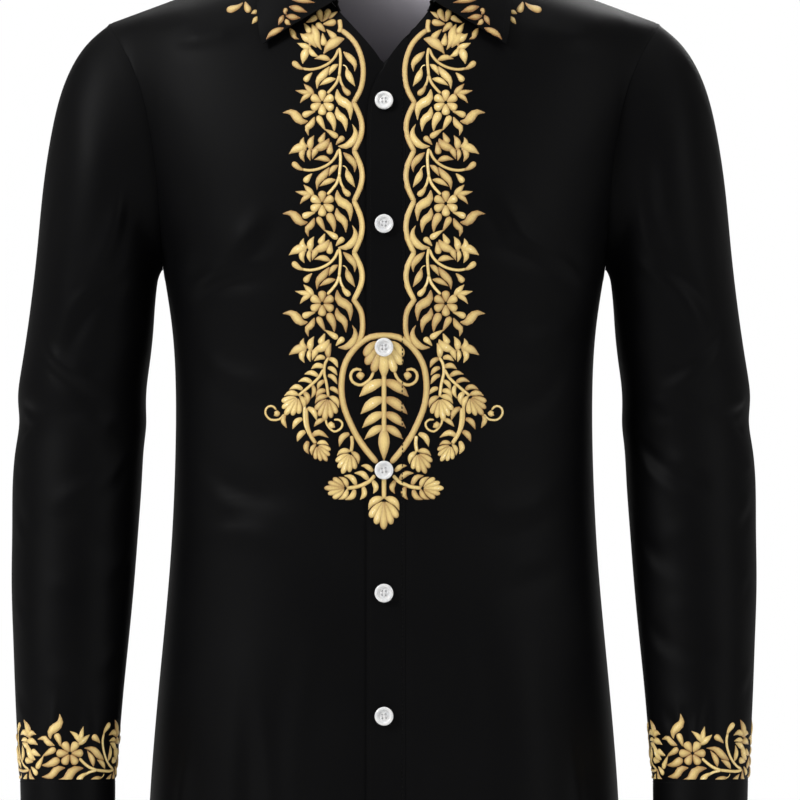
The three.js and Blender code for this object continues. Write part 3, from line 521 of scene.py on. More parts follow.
def crease(points):
    """How far each point moves out along its normal, in metres. Each line has its fellow beside it."""
    height = np.zeros(len(points))
    for *ends, width, rise, bow in CREASES:
        start, end = np.array(ends).reshape(2, 3) / 1000
        line = end - start
        along = ((points - start) @ line) / (line @ line)
        aside = np.cross(line / np.linalg.norm(line), [0, 1, 0])
        aside /= max(np.linalg.norm(aside), 1e-9)
        share = np.clip(along, -OVERRUN, 1 + OVERRUN)
        middle = start + share[:, None] * line + (bow / 1000 * np.sin(np.pi * share))[:, None] * aside
        away = np.linalg.norm(points - middle, axis=1)
        full = [np.clip((past + OVERRUN) / FADE, 0, 1) for past in (along, 1 - along)]
        wide = width / 1000 * (0.65 + 0.45 * np.clip(along, 0, 1))
        fellow = middle + aside * (FELLOW_AWAY * math.copysign(1, bow) * wide)[:, None]
        beside = np.linalg.norm(points - fellow, axis=1)
        fold = np.exp(-((away / wide) ** 2))
        fold -= FELLOW_DEPTH * np.exp(-((beside / wide / FELLOW_WIDTH) ** 2))
        height += CREASE_DEPTH * rise / 1000 * (full[0] * full[1]) ** 1.5 * fold
    return height

# %% Cut and crease every panel
# node, new piece, a way out of it, thickness in mm, smoothing, how it is held, what it hangs from
PANELS = [
    ("back", "back_cloth", (0, 1, 0), 0.7, 3, "hung", []),
    ("front_left", "front_left_cloth", (0, -1, 0), 0.7, 3, "hung", ["back_cloth"]),
    ("front_right", "front_right_cloth", (0, -1, 0), 0.7, 3, "hung", ["back_cloth"]),
    ("placket", "placket_cloth", (0, -1, 0), 0.9, 3, "hung", ["front_left_cloth"]),
    ("sleeve_left", "sleeve_left_cloth", (1, 0, 0), 0.7, 3, "hung", ["back_cloth"]),
    ("sleeve_right", "sleeve_right_cloth", (-1, 0, 0), 0.7, 3, "hung", ["back_cloth"]),
    ("cuff_left", "cuff_left_cloth", (1, 0, 0), 1.1, 2, "hung", ["sleeve_left_cloth"]),
    ("cuff_right", "cuff_right_cloth", (-1, 0, 0), 1.1, 2, "hung", ["sleeve_right_cloth"]),
    ("collar_stand", "collar_stand_cloth", (0, 1, 0), 1.0, 2, "folded", ["back_cloth"]),
    ("collar", "collar_cloth", (0, 1, 0), 1.0, 3, "folded", ["collar_stand_cloth"]),
]
panels = {}
cuts = {}
for node, name, towards, thickness, level, held, rests_on in PANELS:
    piece = outer_side(node, name, towards)
    if node.startswith("sleeve"):
        open_tube(piece)
    cuts[name] = flatten(piece)
    make_active(piece)
    smooth = piece.modifiers.new("smooth", "SUBSURF")
    smooth.levels = smooth.render_levels = level
    smooth.boundary_smooth = "PRESERVE_CORNERS"
    bpy.ops.object.modifier_apply(modifier=smooth.name)
    mesh = piece.data
    points = corners(mesh)
    move_corners(mesh, points + corner_normals(mesh) * crease(points)[:, None])
    panels[node] = piece
    print(name, len(mesh.polygons), "squares, cut to", [round(1000 * s) for s in cuts[name][:2]], "mm")

# %% [markdown]
# ## Closing the seams
# The solids stand a hair apart, but sewn cloth meets. Every point of a panel's edge that has another
# panel's edge beside it goes a little past the line between the two, so that the cloth laps as it
# does in a real seam, and is drawn in, because a seam lies lower than the cloth on both sides of it.

# %% Find the edge beside an edge
def ways_off(mesh, points, edge):
    """For each corner on the rim, the way that leads off the cloth."""
    place_of = {v: k for k, v in enumerate(edge)}
    ways = np.zeros((len(edge), 3))
    for link in mesh.edges:
        for a, b in (link.vertices, reversed(link.vertices)):
            if a in place_of and b not in place_of:
                ways[place_of[a]] += points[a] - points[b]
    return ways / np.maximum(np.linalg.norm(ways, axis=1), 1e-9)[:, None]


def nearest_on_rim(points, starts, ends):
    """For each point the nearest point of a set of short lines, and how far it is."""
    line = ends - starts
    share = np.einsum("psk,sk->ps", points[:, None] - starts, line) / np.einsum("sk,sk->s", line, line)
    spots = starts + np.clip(share, 0, 1)[..., None] * line
    away = np.linalg.norm(points[:, None] - spots, axis=2)
    best = away.argmin(axis=1)
    rows = np.arange(len(points))
    return spots[rows, best], away[rows, best]


def are_sewn(node, other):
    """Every panel meets its neighbours, but the collar's leaf is caught by its stand alone."""
    if node == other:
        return False
    return "collar" not in (node, other) or "collar_stand" in (node, other)


print("the back has", len(rim_of(panels["back"].data)), "short edges round it")

# %% Sew panel to panel
SEAM_REACH = 0.0045
SEAM_DEPTH = 0.0004
SEAM_LAP = 0.0006

places = {node: corners(piece.data) for node, piece in panels.items()}
rims = {node: rim_of(piece.data) for node, piece in panels.items()}
sewn = {}
for node, piece in panels.items():
    edge = np.unique(rims[node])
    sums, counts = places[node][edge].copy(), np.ones(len(edge))
    for other in panels:
        if not are_sewn(node, other):
            continue
        a, b = rims[other].T
        spot, away = nearest_on_rim(places[node][edge], places[other][a], places[other][b])
        close = away < SEAM_REACH
        sums[close] += spot[close]
        counts[close] += 1
    lap = ways_off(piece.data, places[node], edge) * SEAM_LAP
    inwards = corner_normals(piece.data)[edge] * SEAM_DEPTH
    sewn[node] = edge, sums / counts[:, None] + (lap - inwards) * (counts > 1)[:, None]
    print(node, int((counts > 1).sum()), "of", len(edge), "edge points are sewn")
for node, (edge, spots) in sewn.items():
    places[node][edge] = spots
    move_corners(panels[node].data, places[node])

# %% [markdown]
# ## Places on the cloth
# Everything sewn on follows the cloth under it. A ray is sent straight back from the front until it
# meets the cloth, and gives the place and the way the cloth faces there. On a sleeve the ray starts
# in its middle and looks out. This is done before the cloth gets its thickness, so the rays can only
# meet its face.

# %% Find the cloth
def tree_of(*pieces):
    points, faces = [], []
    for piece in pieces:
        mesh = piece.data
        start = len(points)
        points += [v.co.copy() for v in mesh.vertices]
        faces += [[start + v for v in f.vertices] for f in mesh.polygons]
    return BVHTree.FromPolygons(points, faces)


def cloth_tree(*nodes):
    return tree_of(*(panels[node] for node in nodes))


def turned_to(normal, way):
    return normal if normal.dot(way) > 0 else -normal


def seen_from_front(tree, x, z):
    """Where the cloth is behind a point of the front view, and the way it faces."""
    place, normal, _, _ = tree.ray_cast(Vector((x, BEFORE_SHIRT_Y, z)), -FORWARD)
    if place is None:
        place, normal, _, _ = tree.find_nearest(Vector((x, CHEST_Y, z)))
    return place, turned_to(normal, FORWARD)


FORWARD = Vector((0, -1, 0))
BEFORE_SHIRT_Y = -0.4
fronts = cloth_tree("front_left", "front_right", "placket")
collar_and_fronts = cloth_tree("front_left", "front_right", "placket", "collar")
print("the placket is at y", round(1000 * seen_from_front(fronts, 0, -0.4)[0].y, 1), "mm")

# %% [markdown]
# ## Padded satin stitch
# The gold vine is machine satin stitch over padding: every leaf, bud and stem is a low pillow of
# shining thread. A flat print would lose its glint and a carved relief would be too sharp. Seven
# blanks are shaped from a flat grid, column by column, and every motif is a bent copy of one. The
# last of them, the tack, is the plain short stitch that the seams are sewn through with.

# %% Outlines of the blanks
# along, half width, height
OUTLINES = {
    "leaf": [(0, 0, 0), (0.05, 0.20, 0.30), (0.13, 0.48, 0.56), (0.23, 0.78, 0.82), (0.35, 0.97, 0.97),
             (0.47, 1, 1), (0.59, 0.88, 0.95), (0.71, 0.65, 0.82), (0.82, 0.39, 0.6), (0.92, 0.17, 0.36),
             (1, 0, 0)],
    "bud": [(0, 0, 0), (0.08, 0.22, 0.35), (0.20, 0.40, 0.6), (0.34, 0.60, 0.78), (0.48, 0.78, 0.9),
            (0.61, 0.92, 0.98), (0.73, 1, 1), (0.84, 0.94, 0.95), (0.92, 0.76, 0.8), (0.975, 0.45, 0.5),
            (1, 0, 0)],
    "petal": [(0, 0.10, 0), (0.08, 0.28, 0.45), (0.20, 0.50, 0.68), (0.34, 0.72, 0.82),
              (0.48, 0.88, 0.93), (0.62, 0.98, 1), (0.75, 1, 1), (0.86, 0.88, 0.92), (0.94, 0.64, 0.74),
              (0.985, 0.34, 0.42), (1, 0, 0)],
    "stem": [(0, 0, 0), (0.02, 0.7, 0.6), (0.05, 0.95, 0.9)]
            + [(0.05 + 0.9 * k / 14, 1, 1) for k in range(1, 14)]
            + [(0.95, 0.95, 0.9), (0.98, 0.7, 0.6), (1, 0, 0)],
    "long_stem": [(0, 0, 0), (0.008, 0.8, 0.8)]
                 + [(0.02 + 0.96 * k / 44, 1, 1) for k in range(45)]
                 + [(0.992, 0.8, 0.8), (1, 0, 0)],
    "frond": [(0, 0.45, 0), (0.06, 0.62, 0.45), (0.15, 0.78, 0.7), (0.26, 0.92, 0.9), (0.38, 1, 1),
              (0.50, 0.97, 0.98), (0.62, 0.84, 0.9), (0.74, 0.60, 0.75), (0.85, 0.34, 0.55),
              (0.94, 0.13, 0.3), (1, 0, 0)],
    "tack": [(0, 0, 0), (0.15, 0.8, 0.7), (0.5, 1, 1), (0.85, 0.8, 0.7), (1, 0, 0)],
}
# place across and height, for every outline
ACROSS = [(-1, 0), (-0.82, 0.50), (-0.46, 0.86), (0, 1), (0.46, 0.86), (0.82, 0.50), (1, 0)]
print(len(OUTLINES), "outlines")

# %% Shape the blanks
def stitch_blank(name, stations):
    """A padded stitch 1 long, 2 wide and 1 high: its points, and its faces."""
    deselect_all()
    bpy.ops.mesh.primitive_grid_add(
        x_subdivisions=len(stations) - 1, y_subdivisions=len(ACROSS) - 1, size=2)
    blank = bpy.context.object
    blank.name = name
    points = corners(blank.data)
    column = np.rint((points[:, 0] + 1) / 2 * (len(stations) - 1)).astype(int)
    row = np.rint((points[:, 1] + 1) / 2 * (len(ACROSS) - 1)).astype(int)
    bpy.ops.object.mode_set(mode="EDIT")
    shape = bmesh.from_edit_mesh(blank.data)

    def choose(mask):
        for vertex in shape.verts:
            vertex.select = bool(mask[vertex.index])
        bmesh.update_edit_mesh(blank.data)

    for k, (place, rise) in enumerate(ACROSS):
        choose(row == k)
        old = -1 + 2 * k / (len(ACROSS) - 1)
        bpy.ops.transform.translate(value=(0, place - old, rise))
    for k, (along, half_width, height) in enumerate(stations):
        choose(column == k)
        old = -1 + 2 * k / (len(stations) - 1)
        bpy.ops.transform.resize(value=(1, half_width, height), center_override=(0, 0, 0))
        bpy.ops.transform.translate(value=(along - old, 0, 0))
    bpy.ops.mesh.select_all(action="SELECT")
    bpy.ops.mesh.remove_doubles(threshold=1e-4)
    close_piece()
    points = corners(blank.data)
    faces = [list(f.vertices) for f in blank.data.polygons]
    bpy.data.objects.remove(blank)
    print(name, len(faces), "faces", points.min(axis=0).round(2), points.max(axis=0).round(2))
    return points, faces


BLANKS = {kind: stitch_blank(f"{kind}_blank", stations) for kind, stations in OUTLINES.items()}

# %% Gold thread
THREAD_PITCH = 0.0007
PAINTED_GLINT = (1, 1, 1)


def thread_material(name, dark, light):
    board = Board(name)
    stitch = board.add("ShaderNodeUVMap", {"uv_map": "Thread"})
    tone = board.add("ShaderNodeUVMap", {"uv_map": "Tone"})
    along = board.add("ShaderNodeSeparateXYZ", {}, {0: stitch}, 0)
    across = board.add("ShaderNodeSeparateXYZ", {}, {0: stitch}, 1)
    piece_tone = board.add("ShaderNodeSeparateXYZ", {}, {0: tone}, 0)
    crest_painted_light = board.add("ShaderNodeSeparateXYZ", {}, {0: tone}, 1)
    wander = board.add("ShaderNodeTexNoise", {}, {"Vector": stitch, "Scale": 380.0, "Detail": 2.0})
    slant = along + across * 0.7 + wander * 0.0006
    thread = (slant * (2 * math.pi / THREAD_PITCH)).maths("SINE") * 0.5 + 0.5
    bundle = board.add("ShaderNodeTexNoise", {}, {"Vector": stitch, "Scale": 900.0, "Detail": 1.0})
    # Painted light: the colour is lighter on each stitch's crest and darker at its edges, a painted
    # highlight and painted shade; piece_tone varies at random, and is painted shade on the collar.
    lit = (crest_painted_light * crest_painted_light * 0.62 + piece_tone * 0.28 + thread * 0.12 + (bundle - 0.5) * 0.35).clamped()
    # The white top of the ramp is a painted glint.
    stops = [(0.02, dark), (0.95, light), (1, PAINTED_GLINT)]
    colour = board.add("ShaderNodeValToRGB", {"stops": stops}, {0: lit})
    threads = thread + bundle
    bump = board.add("ShaderNodeBump", {}, {"Strength": 0.5, "Distance": 0.00012, "Height": threads})
    return board.finish(
        Base_Color=colour, Roughness=0.48 - thread * 0.1, Normal=bump,
        Specular_IOR_Level=0.45, Sheen_Weight=0.15, Sheen_Roughness=0.4,
    )


# dark and light are the painted shade at the stitches' edges and the painted highlight on their crests.
gold_thread = thread_material("gold_thread", (0.20, 0.085, 0.016), (0.72, 0.55, 0.21))
print(gold_thread.name)

# %% Draw a smooth line through points
def spine(points, shares):
    """Places and directions at shares of the length of a smooth line through the points."""
    p = np.array(points, float)
    q = np.vstack([2 * p[0] - p[1], p, 2 * p[-1] - p[-2]])
    t = np.linspace(0, 1, 13)[:-1, None]
    parts = [
        0.5 * (2 * b + (c - a) * t + (2 * a - 5 * b + 4 * c - d) * t**2 + (3 * b - a - 3 * c + d) * t**3)
        for a, b, c, d in zip(q, q[1:], q[2:], q[3:])
    ]
    line = np.vstack([*parts, p[-1:]])
    steps = np.r_[0, np.cumsum(np.linalg.norm(np.diff(line, axis=0), axis=1))]
    at = lambda s: np.c_[np.interp(s, steps, line[:, 0]), np.interp(s, steps, line[:, 1])]
    where = np.asarray(shares) * steps[-1]
    near = steps[-1] * 0.03
    way = at(np.minimum(where + near, steps[-1])) - at(np.maximum(where - near, 0))
    return at(where), way / np.linalg.norm(way, axis=1)[:, None], steps[-1]


quarter_turn = spine([(10, 0), (7.07, 7.07), (0, 10)], [0])[2]
print("a quarter turn of 10 mm radius is", round(quarter_turn, 1), "mm")

# %% Bend blanks and lay them on the cloth
SINK = 0.00025


def finish_thread(name, points, faces, finish):
    """A new smooth piece of thread that rides on the shirt."""
    mesh = bpy.data.meshes.new(name)
    mesh.from_pydata(points, [], faces)
    mesh.materials.append(finish)
    piece = hang(name, mesh)
    make_active(piece)
    bpy.ops.object.shade_smooth()
    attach(piece, "root")
    return piece


def sew(name, stitches, to_cloth, mirrored=False, tones=(0, 1)):
    """One piece of embroidery. stitches are (kind, width, points) in millimetres of a flat chart,
    which to_cloth lays on the cloth; mirrored says that it mirrors the chart on the way."""
    points, faces, thread, tone = [], [], [], []
    start = 0
    for number, (kind, width, line) in enumerate(stitches):
        blank, blank_faces = BLANKS[kind]
        place, way, length = spine(line, blank[:, 0])
        aside = np.c_[-way[:, 1], way[:, 0]]
        flat = (place + aside * (blank[:, 1] * width / 2)[:, None]) / 1000
        height = min(0.15 + 0.2 * width, 1.5) / 1000
        on_cloth, outwards = to_cloth(flat)
        points.append(on_cloth + outwards * (blank[:, 2] * height - SINK)[:, None])
        # Each piece's tone varies at random within tones; on the collar a low range paints shade.
        shade = tones[0] + (tones[1] - tones[0]) * (0.5 + 0.5 * math.sin(number * 12.9898 + 4.1))
        thread.append(np.c_[blank[:, 0] * length, blank[:, 1] * width / 2] / 1000)
        tone.append(np.c_[np.full(len(blank), shade), blank[:, 2]])
        faces += [[start + v for v in (reversed(f) if mirrored else f)] for f in blank_faces]
        start += len(blank)
    piece = finish_thread(name, np.vstack(points).tolist(), faces, gold_thread)
    mesh = piece.data
    for map_name, values in (("Thread", np.vstack(thread)), ("Tone", np.vstack(tone))):
        mesh.uv_layers.new(name=map_name).data.foreach_set("uv", values[owners(mesh)].ravel())
    print(name, len(stitches), "stitches,", 2 * len(mesh.polygons), "triangles at most")
    return piece


# %% Lay a chart on the front
STEP_REACH = 0.0032  # how far stitches run on at the same height past the placket's edge
STEP_HEIGHT = 0.0007
PLACKET_REACH = 0.03


def front_cloth(tree, side=1):
    """Lays a chart of (distance out from the middle, height) on the front of the shirt."""

    def find(x, z):
        place, normal = seen_from_front(tree, x, z)
        if abs(x) < PLACKET_REACH:
            for aside in (x - STEP_REACH, x + STEP_REACH):
                beside = seen_from_front(tree, aside, z)[0].y
                if beside < place.y - STEP_HEIGHT:
                    place = Vector((x, beside, z))
        return place, normal

    def to_cloth(flat):
        found = [find(side * x, z) for x, z in flat]
        return np.array([p[:] for p, _ in found]), np.array([n[:] for _, n in found])

    return to_cloth

# %% [markdown]
# ## The vine border
# The border is one vine that comes again three times down each side, beside a scalloped cord, and
# is mirrored from side to side. It is an ordinary leaf and flower border, so it was charted into
# this table: one stem, curved side stems with buds, leaves, and a six-petalled flower whose
# middle is the chart's level zero.

# %% Chart of one repeat
# kind, width, line of (distance out from the shirt's middle, height above the flower), in millimetres
VINE = [
    ("stem", 2.7, [(35.9, 44.4), (34.8, 37.5), (35.0, 30.4), (35.9, 21.1)]),
    ("stem", 2.7, [(35.6, 22.4), (37.9, 16.2), (41.2, 11.7), (45.5, 7.1)]),
    ("stem", 2.4, [(35.6, 22.0), (34.3, 16.2), (31.9, 11.7), (29.9, 9.1)]),
    ("bud", 5.2, [(34.0, 15.3), (31.5, 10.4), (27.0, 6.0)]),
    ("stem", 2.6, [(36.3, 43.7), (39.0, 37.1), (44.4, 31.5), (51.9, 27.9), (59.5, 26.6), (66.0, 27.6)]),
    ("bud", 5.3, [(62.6, 26.7), (67.5, 28.2), (73.4, 33.1)]),
    ("leaf", 5.2, [(42.1, 33.8), (49.2, 36.4), (56.5, 35.0)]),
    ("leaf", 5.9, [(33.2, 41.5), (26.6, 35.3), (23.3, 30.4), (23.6, 24.0)]),
    ("leaf", 4.8, [(36.2, 31.1), (41.0, 27.6), (44.4, 21.3)]),
    ("leaf", 6.4, [(43.2, 29.7), (47.3, 23.7), (52.6, 17.8), (53.6, 10.0)]),
    ("leaf", 5.0, [(37.9, 19.2), (44.8, 17.8), (52.3, 13.3)]),
    ("stem", 1.3, [(33.2, 30.2), (31.0, 29.5), (28.8, 26.4)]),
    ("leaf", 5.9, [(30.3, 28.2), (27.9, 21.1), (22.8, 12.4)]),
    ("bud", 5.5, [(57.1, 24.4), (60.4, 21.1), (63.6, 16.9)]),
    ("bud", 5.7, [(54.4, -7.1), (59.5, -8.3), (65.4, -10.7)]),
    ("bud", 5.3, [(47.8, -21.0), (42.1, -24.5), (36.8, -28.1)]),
    ("bud", 5.7, [(47.1, -23.6), (49.1, -28.1), (51.4, -32.7)]),
    ("bud", 5.3, [(38.8, -34.3), (35.5, -30.5), (31.9, -27.4)]),
    ("leaf", 5.3, [(55.5, 5.3), (60.6, 11.3), (64.7, 15.6)]),
    ("leaf", 4.6, [(56.4, 7.1), (64.8, 8.4), (71.8, 9.9)]),
    ("leaf", 4.6, [(56.5, 8.2), (63.5, 4.2), (67.6, -1.1)]),
    ("leaf", 7.8, [(60.1, -14.8), (66.6, -14.8), (73.4, -8.0), (82.0, -8.2)]),
    ("leaf", 5.7, [(55.3, -10.9), (58.1, -17.2), (61.5, -20.7), (60.2, -27.4)]),
    ("bud", 5.7, [(46.6, -22.9), (49.2, -18.0), (53.2, -10.5)]),
    ("bud", 7.1, [(39.7, -23.6), (40.5, -16.3), (44.8, -7.6)]),
    ("leaf", 6.8, [(37.9, -2.8), (36.6, -9.6), (31.5, -14.8), (30.3, -24.3)]),
    ("leaf", 8.0, [(37.6, 11.7), (35.9, 2.8), (27.7, -3.4), (26.8, -15.4)]),
    ("leaf", 6.4, [(37.7, -35.2), (29.7, -34.7), (23.9, -29.2), (22.8, -22.9), (26.0, -16.3)]),
    ("leaf", 7.5, [(59.9, -34.5), (69.2, -36.7), (76.6, -41.6)]),
    ("leaf", 5.5, [(62.1, -38.9), (65.4, -32.7), (64.0, -27.2)]),
    ("leaf", 5.9, [(58.6, -38.9), (58.8, -31.8), (55.6, -25.8)]),
    ("leaf", 5.2, [(63.0, -35.4), (65.9, -42.0), (63.3, -48.2)]),
    ("leaf", 4.1, [(59.2, -35.8), (60.1, -42.0), (58.6, -47.5)]),
    ("leaf", 7.5, [(43.7, -28.3), (46.6, -33.2), (52.8, -36.7), (59.0, -38.5)]),
    ("leaf", 5.3, [(51.0, -34.9), (55.0, -38.9), (57.7, -46.0)]),
]
DROP = ("bud", 5.7, [(42.3, 49.8), (43.0, 44.6), (43.7, 39.3)])
print(len(VINE), "stitches in one repeat")

# %% Where the repeats and their cord go
FLOWER_OUT = 49.4
FLOWER_LEVELS = [-122, -203, -282.8]
VINE_PITCH = 80.4

# scalloped cord: distance out and height of each cusp, between which it bows inwards
CUSPS = [(24.3, -122.4), (24, -160.8), (24, -201), (24, -242.4), (24, -279.8)]
CORD_TOP = [(35.8, -55.0), (35.2, -58.4), (35.0, -61.8), (35.9, -65.6)]
CORD_NECK = [(35.6, -62.5), (29, -67.5), (22.5, -75), (18, -86), (16.6, -98), (18.6, -111), (25.6, -124)]
CORD_FOOT = [(25.4, -278.2), (19, -288), (17.2, -297), (17.8, -307), (22, -317)]
CORD_TOP_WIDTH, CORD_WIDTH = 4.0, 4.6
SCALLOP = 6.5


def scallop(start, end):
    """The cord between two cusps, which it runs a little past."""
    (out, level), (out_on, level_on) = start, end
    return [
        (out + (out_on - out) * t - SCALLOP * math.sin(math.pi * t), level + (level_on - level) * t)
        for t in (-0.035, 0.07, 0.2, 0.35, 0.5, 0.65, 0.8, 0.93, 1.035)
    ]


def flower(out, level):
    """Six petals round a middle that stays bare."""
    petals = []
    for k in range(6):
        angle = math.radians(90 + 60 * k)
        line = [(out + r * math.cos(angle), level + r * math.sin(angle)) for r in (0.9, 5.5, 10.3)]
        petals.append(("petal", 7.0, line))
    return petals


def moved(stitches, level):
    return [(kind, width, [(x, z + level) for x, z in line]) for kind, width, line in stitches]


border = [("stem", CORD_TOP_WIDTH, CORD_TOP)]
border += [("stem", CORD_WIDTH, line) for line in (CORD_NECK, CORD_FOOT)]
border += [("stem", CORD_WIDTH, scallop(a, b)) for a, b in zip(CUSPS, CUSPS[1:])]
for level in FLOWER_LEVELS:
    border += flower(FLOWER_OUT, level) + moved(VINE, level)
    if level != FLOWER_LEVELS[0]:
        border += moved([DROP], level)
print(len(border), "stitches in the border")

# %% Chart of the border's top and of the shoulder, in the shirt's own heights
VINE_TOP = [
    ("leaf", 8.8, [(31.1, -70.5), (38.3, -72.5), (44.3, -77.0), (49.0, -83.8)]),
    ("petal", 5.6, [(49.6, -57.2), (51.3, -52.0), (52.1, -46.8)]),
    ("petal", 6.0, [(49.3, -57.0), (45.8, -51.5), (44.5, -46.2)]),
    ("leaf", 3.8, [(44.3, -55.0), (41.3, -51.2), (36.5, -48.2)]),
    ("petal", 6.0, [(49.3, -58.8), (43.8, -58.0), (38.3, -56.6)]),
    ("petal", 5.6, [(46.7, -65.4), (50.3, -61.5), (54.5, -58.0)]),
    ("bud", 5.8, [(46.7, -62.6), (42.8, -66.2), (38.5, -70.8)]),
    ("bud", 5.8, [(49.3, -65.6), (48.8, -70.0), (47.8, -76.4)]),
    ("bud", 5.4, [(64.5, -57.6), (61.8, -61.5), (58.7, -66.2)]),
    ("leaf", 6.0, [(57.1, -73.0), (62.8, -70.0), (67.6, -65.8)]),
    ("leaf", 5.2, [(57.8, -78.5), (63.8, -76.5), (70.1, -73.8)]),
    ("leaf", 7.0, [(61.3, -77.0), (63.8, -84.0), (65.3, -91.5)]),
    ("leaf", 4.8, [(60.3, -77.5), (57.3, -82.5), (51.8, -85.5)]),
    ("leaf", 7.2, [(58.1, -58.2), (55.1, -65.0), (53.8, -73.0), (49.6, -80.5)]),
    ("leaf", 8.4, [(65.3, -67.0), (59.3, -70.0), (53.8, -78.5)]),
    ("leaf", 7.0, [(54.8, -63.0), (56.8, -69.0), (60.3, -78.0)]),
    ("bud", 5.2, [(63.2, -57.6), (58.8, -55.6), (53.6, -52.6)]),
    ("leaf", 5.0, [(76.0, -61.5), (73.0, -66.0), (71.6, -69.2), (67.6, -71.2)]),
]
SHOULDER_VINE = [
    ("bud", 6.2, [(112.8, -40.5), (117.3, -44.5), (126.5, -47.6)]),
    ("petal", 6.0, [(111.5, -40.0), (110.3, -44.0), (107.8, -49.2)]),
    ("leaf", 4.0, [(100.8, -47.5), (103.8, -48.8), (107.1, -50.4)]),
    ("leaf", 4.4, [(100.8, -52.0), (103.1, -55.0), (106.1, -59.0)]),
]

print(len(VINE_TOP + SHOULDER_VINE), "stitches at the top")

# %% Sew the border
SIDES = (("left", 1), ("right", -1))

gold = []
for side, sign in SIDES:
    chart = border + VINE_TOP + SHOULDER_VINE
    piece = sew(f"vine_{side}", chart, front_cloth(fronts, sign), mirrored=sign < 0)
    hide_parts(f"scallop_cord_{side}", *(f"flower_{side}_{k}" for k in (1, 2, 3)))
    gold.append(piece)

# %% [markdown]
# ## The medallion and its sprigs
# Below the border a teardrop ring holds an upright leaf branch, and leaf sprigs that end in
# fan-shaped palmettes hang round it. One side is charted and mirrored. A palmette is five narrow
# petals under two curled ones, built from its foot and its tip.

# %% Chart of the medallion's right half and its sprigs
MEDALLION = [
    ("frond", 8.8, [(0.3, -345.2), (7.2, -347.4), (13.8, -351.8), (20.4, -358.0)]),
    ("frond", 8.8, [(0.3, -359.2), (7.0, -361.2), (13.0, -365.6), (19.2, -371.8)]),
    ("frond", 8.0, [(0.3, -371.0), (6.6, -373.0), (12.0, -377.0), (17.6, -382.6)]),
    ("frond", 7.0, [(0.3, -381.6), (5.8, -383.4), (10.6, -386.8), (15.8, -391.8)]),
    ("stem", 2.8, [(8.0, -336.9), (11.4, -343.6), (18.0, -348.0), (24.3, -346.2), (26.7, -341.3),
                   (24.9, -336.6), (20.4, -335.2), (17.6, -337.2)]),
    ("leaf", 7.0, [(19.4, -337.0), (18.9, -340.4), (18.4, -344.6)]),
    ("petal", 7.6, [(1.2, -313.0), (9.4, -316.6), (15.4, -325.2)]),
    ("petal", 7.6, [(1.2, -315.0), (7.6, -321.6), (14.4, -331.8)]),
    ("petal", 7.6, [(1.2, -316.6), (4.6, -325.0), (8.8, -338.0)]),
]
SPRIG = [
    ("frond", 5.5, [(44.4, -326.2), (44.7, -320.0), (42.0, -314.0)]),
    ("stem", 2.7, [(43.8, -325.3), (47.1, -331.1), (47.8, -338.2), (45.9, -347.1), (44.4, -357.8)]),
    ("stem", 2.7, [(48.2, -335.1), (52.3, -342.2), (59.4, -348.9), (69.0, -356.9)]),
    ("frond", 4.6, [(46.8, -326.7), (51.4, -325.8), (56.4, -329.2)]),
    ("frond", 4.8, [(47.6, -333.6), (53.6, -332.4), (58.9, -335.7)]),
    ("frond", 4.6, [(52.3, -341.1), (58.0, -338.2), (64.5, -339.6)]),
    ("frond", 4.4, [(57.2, -346.2), (62.9, -343.6), (69.3, -345.7)]),
    ("frond", 4.6, [(64.7, -351.7), (70.0, -349.3), (76.4, -351.9)]),
    ("frond", 4.6, [(44.4, -326.7), (39.4, -328.9), (36.6, -334.8)]),
    ("frond", 4.4, [(45.3, -334.0), (40.7, -335.6), (37.0, -340.9)]),
    ("frond", 4.4, [(45.3, -340.2), (40.7, -341.8), (37.0, -348.0)]),
    ("frond", 4.4, [(43.8, -350.5), (39.4, -351.6), (35.8, -356.0)]),
    ("frond", 4.4, [(47.1, -344.3), (51.4, -347.1), (53.3, -352.6)]),
    ("frond", 4.8, [(46.2, -352.3), (51.4, -353.3), (54.7, -358.7)]),
    ("frond", 4.1, [(57.2, -347.6), (55.8, -353.3), (58.5, -359.4)]),
    ("frond", 5.0, [(64.3, -353.3), (61.0, -357.8), (61.6, -364.4)]),
    ("stem", 2.1, [(79.6, -370.9), (83.8, -375.4), (90.9, -375.6), (94.9, -370.7), (93.6, -366.0),
                   (89.2, -364.9), (85.7, -368.4)]),
    ("leaf", 5.6, [(85.2, -368.0), (85.9, -371.1), (88.5, -372.4)]),
    ("stem", 2.1, [(46.8, -372.9), (45.6, -379.6), (40.0, -385.2), (34.3, -382.5), (33.4, -378.2),
                   (36.7, -375.6), (40.5, -376.0)]),
    ("leaf", 6.2, [(42.3, -376.9), (42.0, -380.0), (38.8, -382.2)]),
    ("stem", 2.8, [(62.7, -356.9), (63.5, -364.0), (63.6, -374.7), (61.9, -382.7), (57.2, -392.0)]),
    ("frond", 5.0, [(61.6, -366.0), (56.3, -369.3), (53.5, -377.2)]),
    ("frond", 5.0, [(64.9, -374.8), (70.0, -377.3), (73.4, -383.9)]),
    ("frond", 5.3, [(62.5, -384.9), (66.9, -387.6), (69.6, -393.8)]),
    ("frond", 4.6, [(57.8, -388.4), (52.3, -385.8), (43.8, -390.5)]),
    ("frond", 4.4, [(79.1, -371.6), (80.7, -376.4), (77.4, -383.1)]),
    ("frond", 4.4, [(47.4, -375.1), (52.3, -377.3), (56.5, -381.8)]),
]
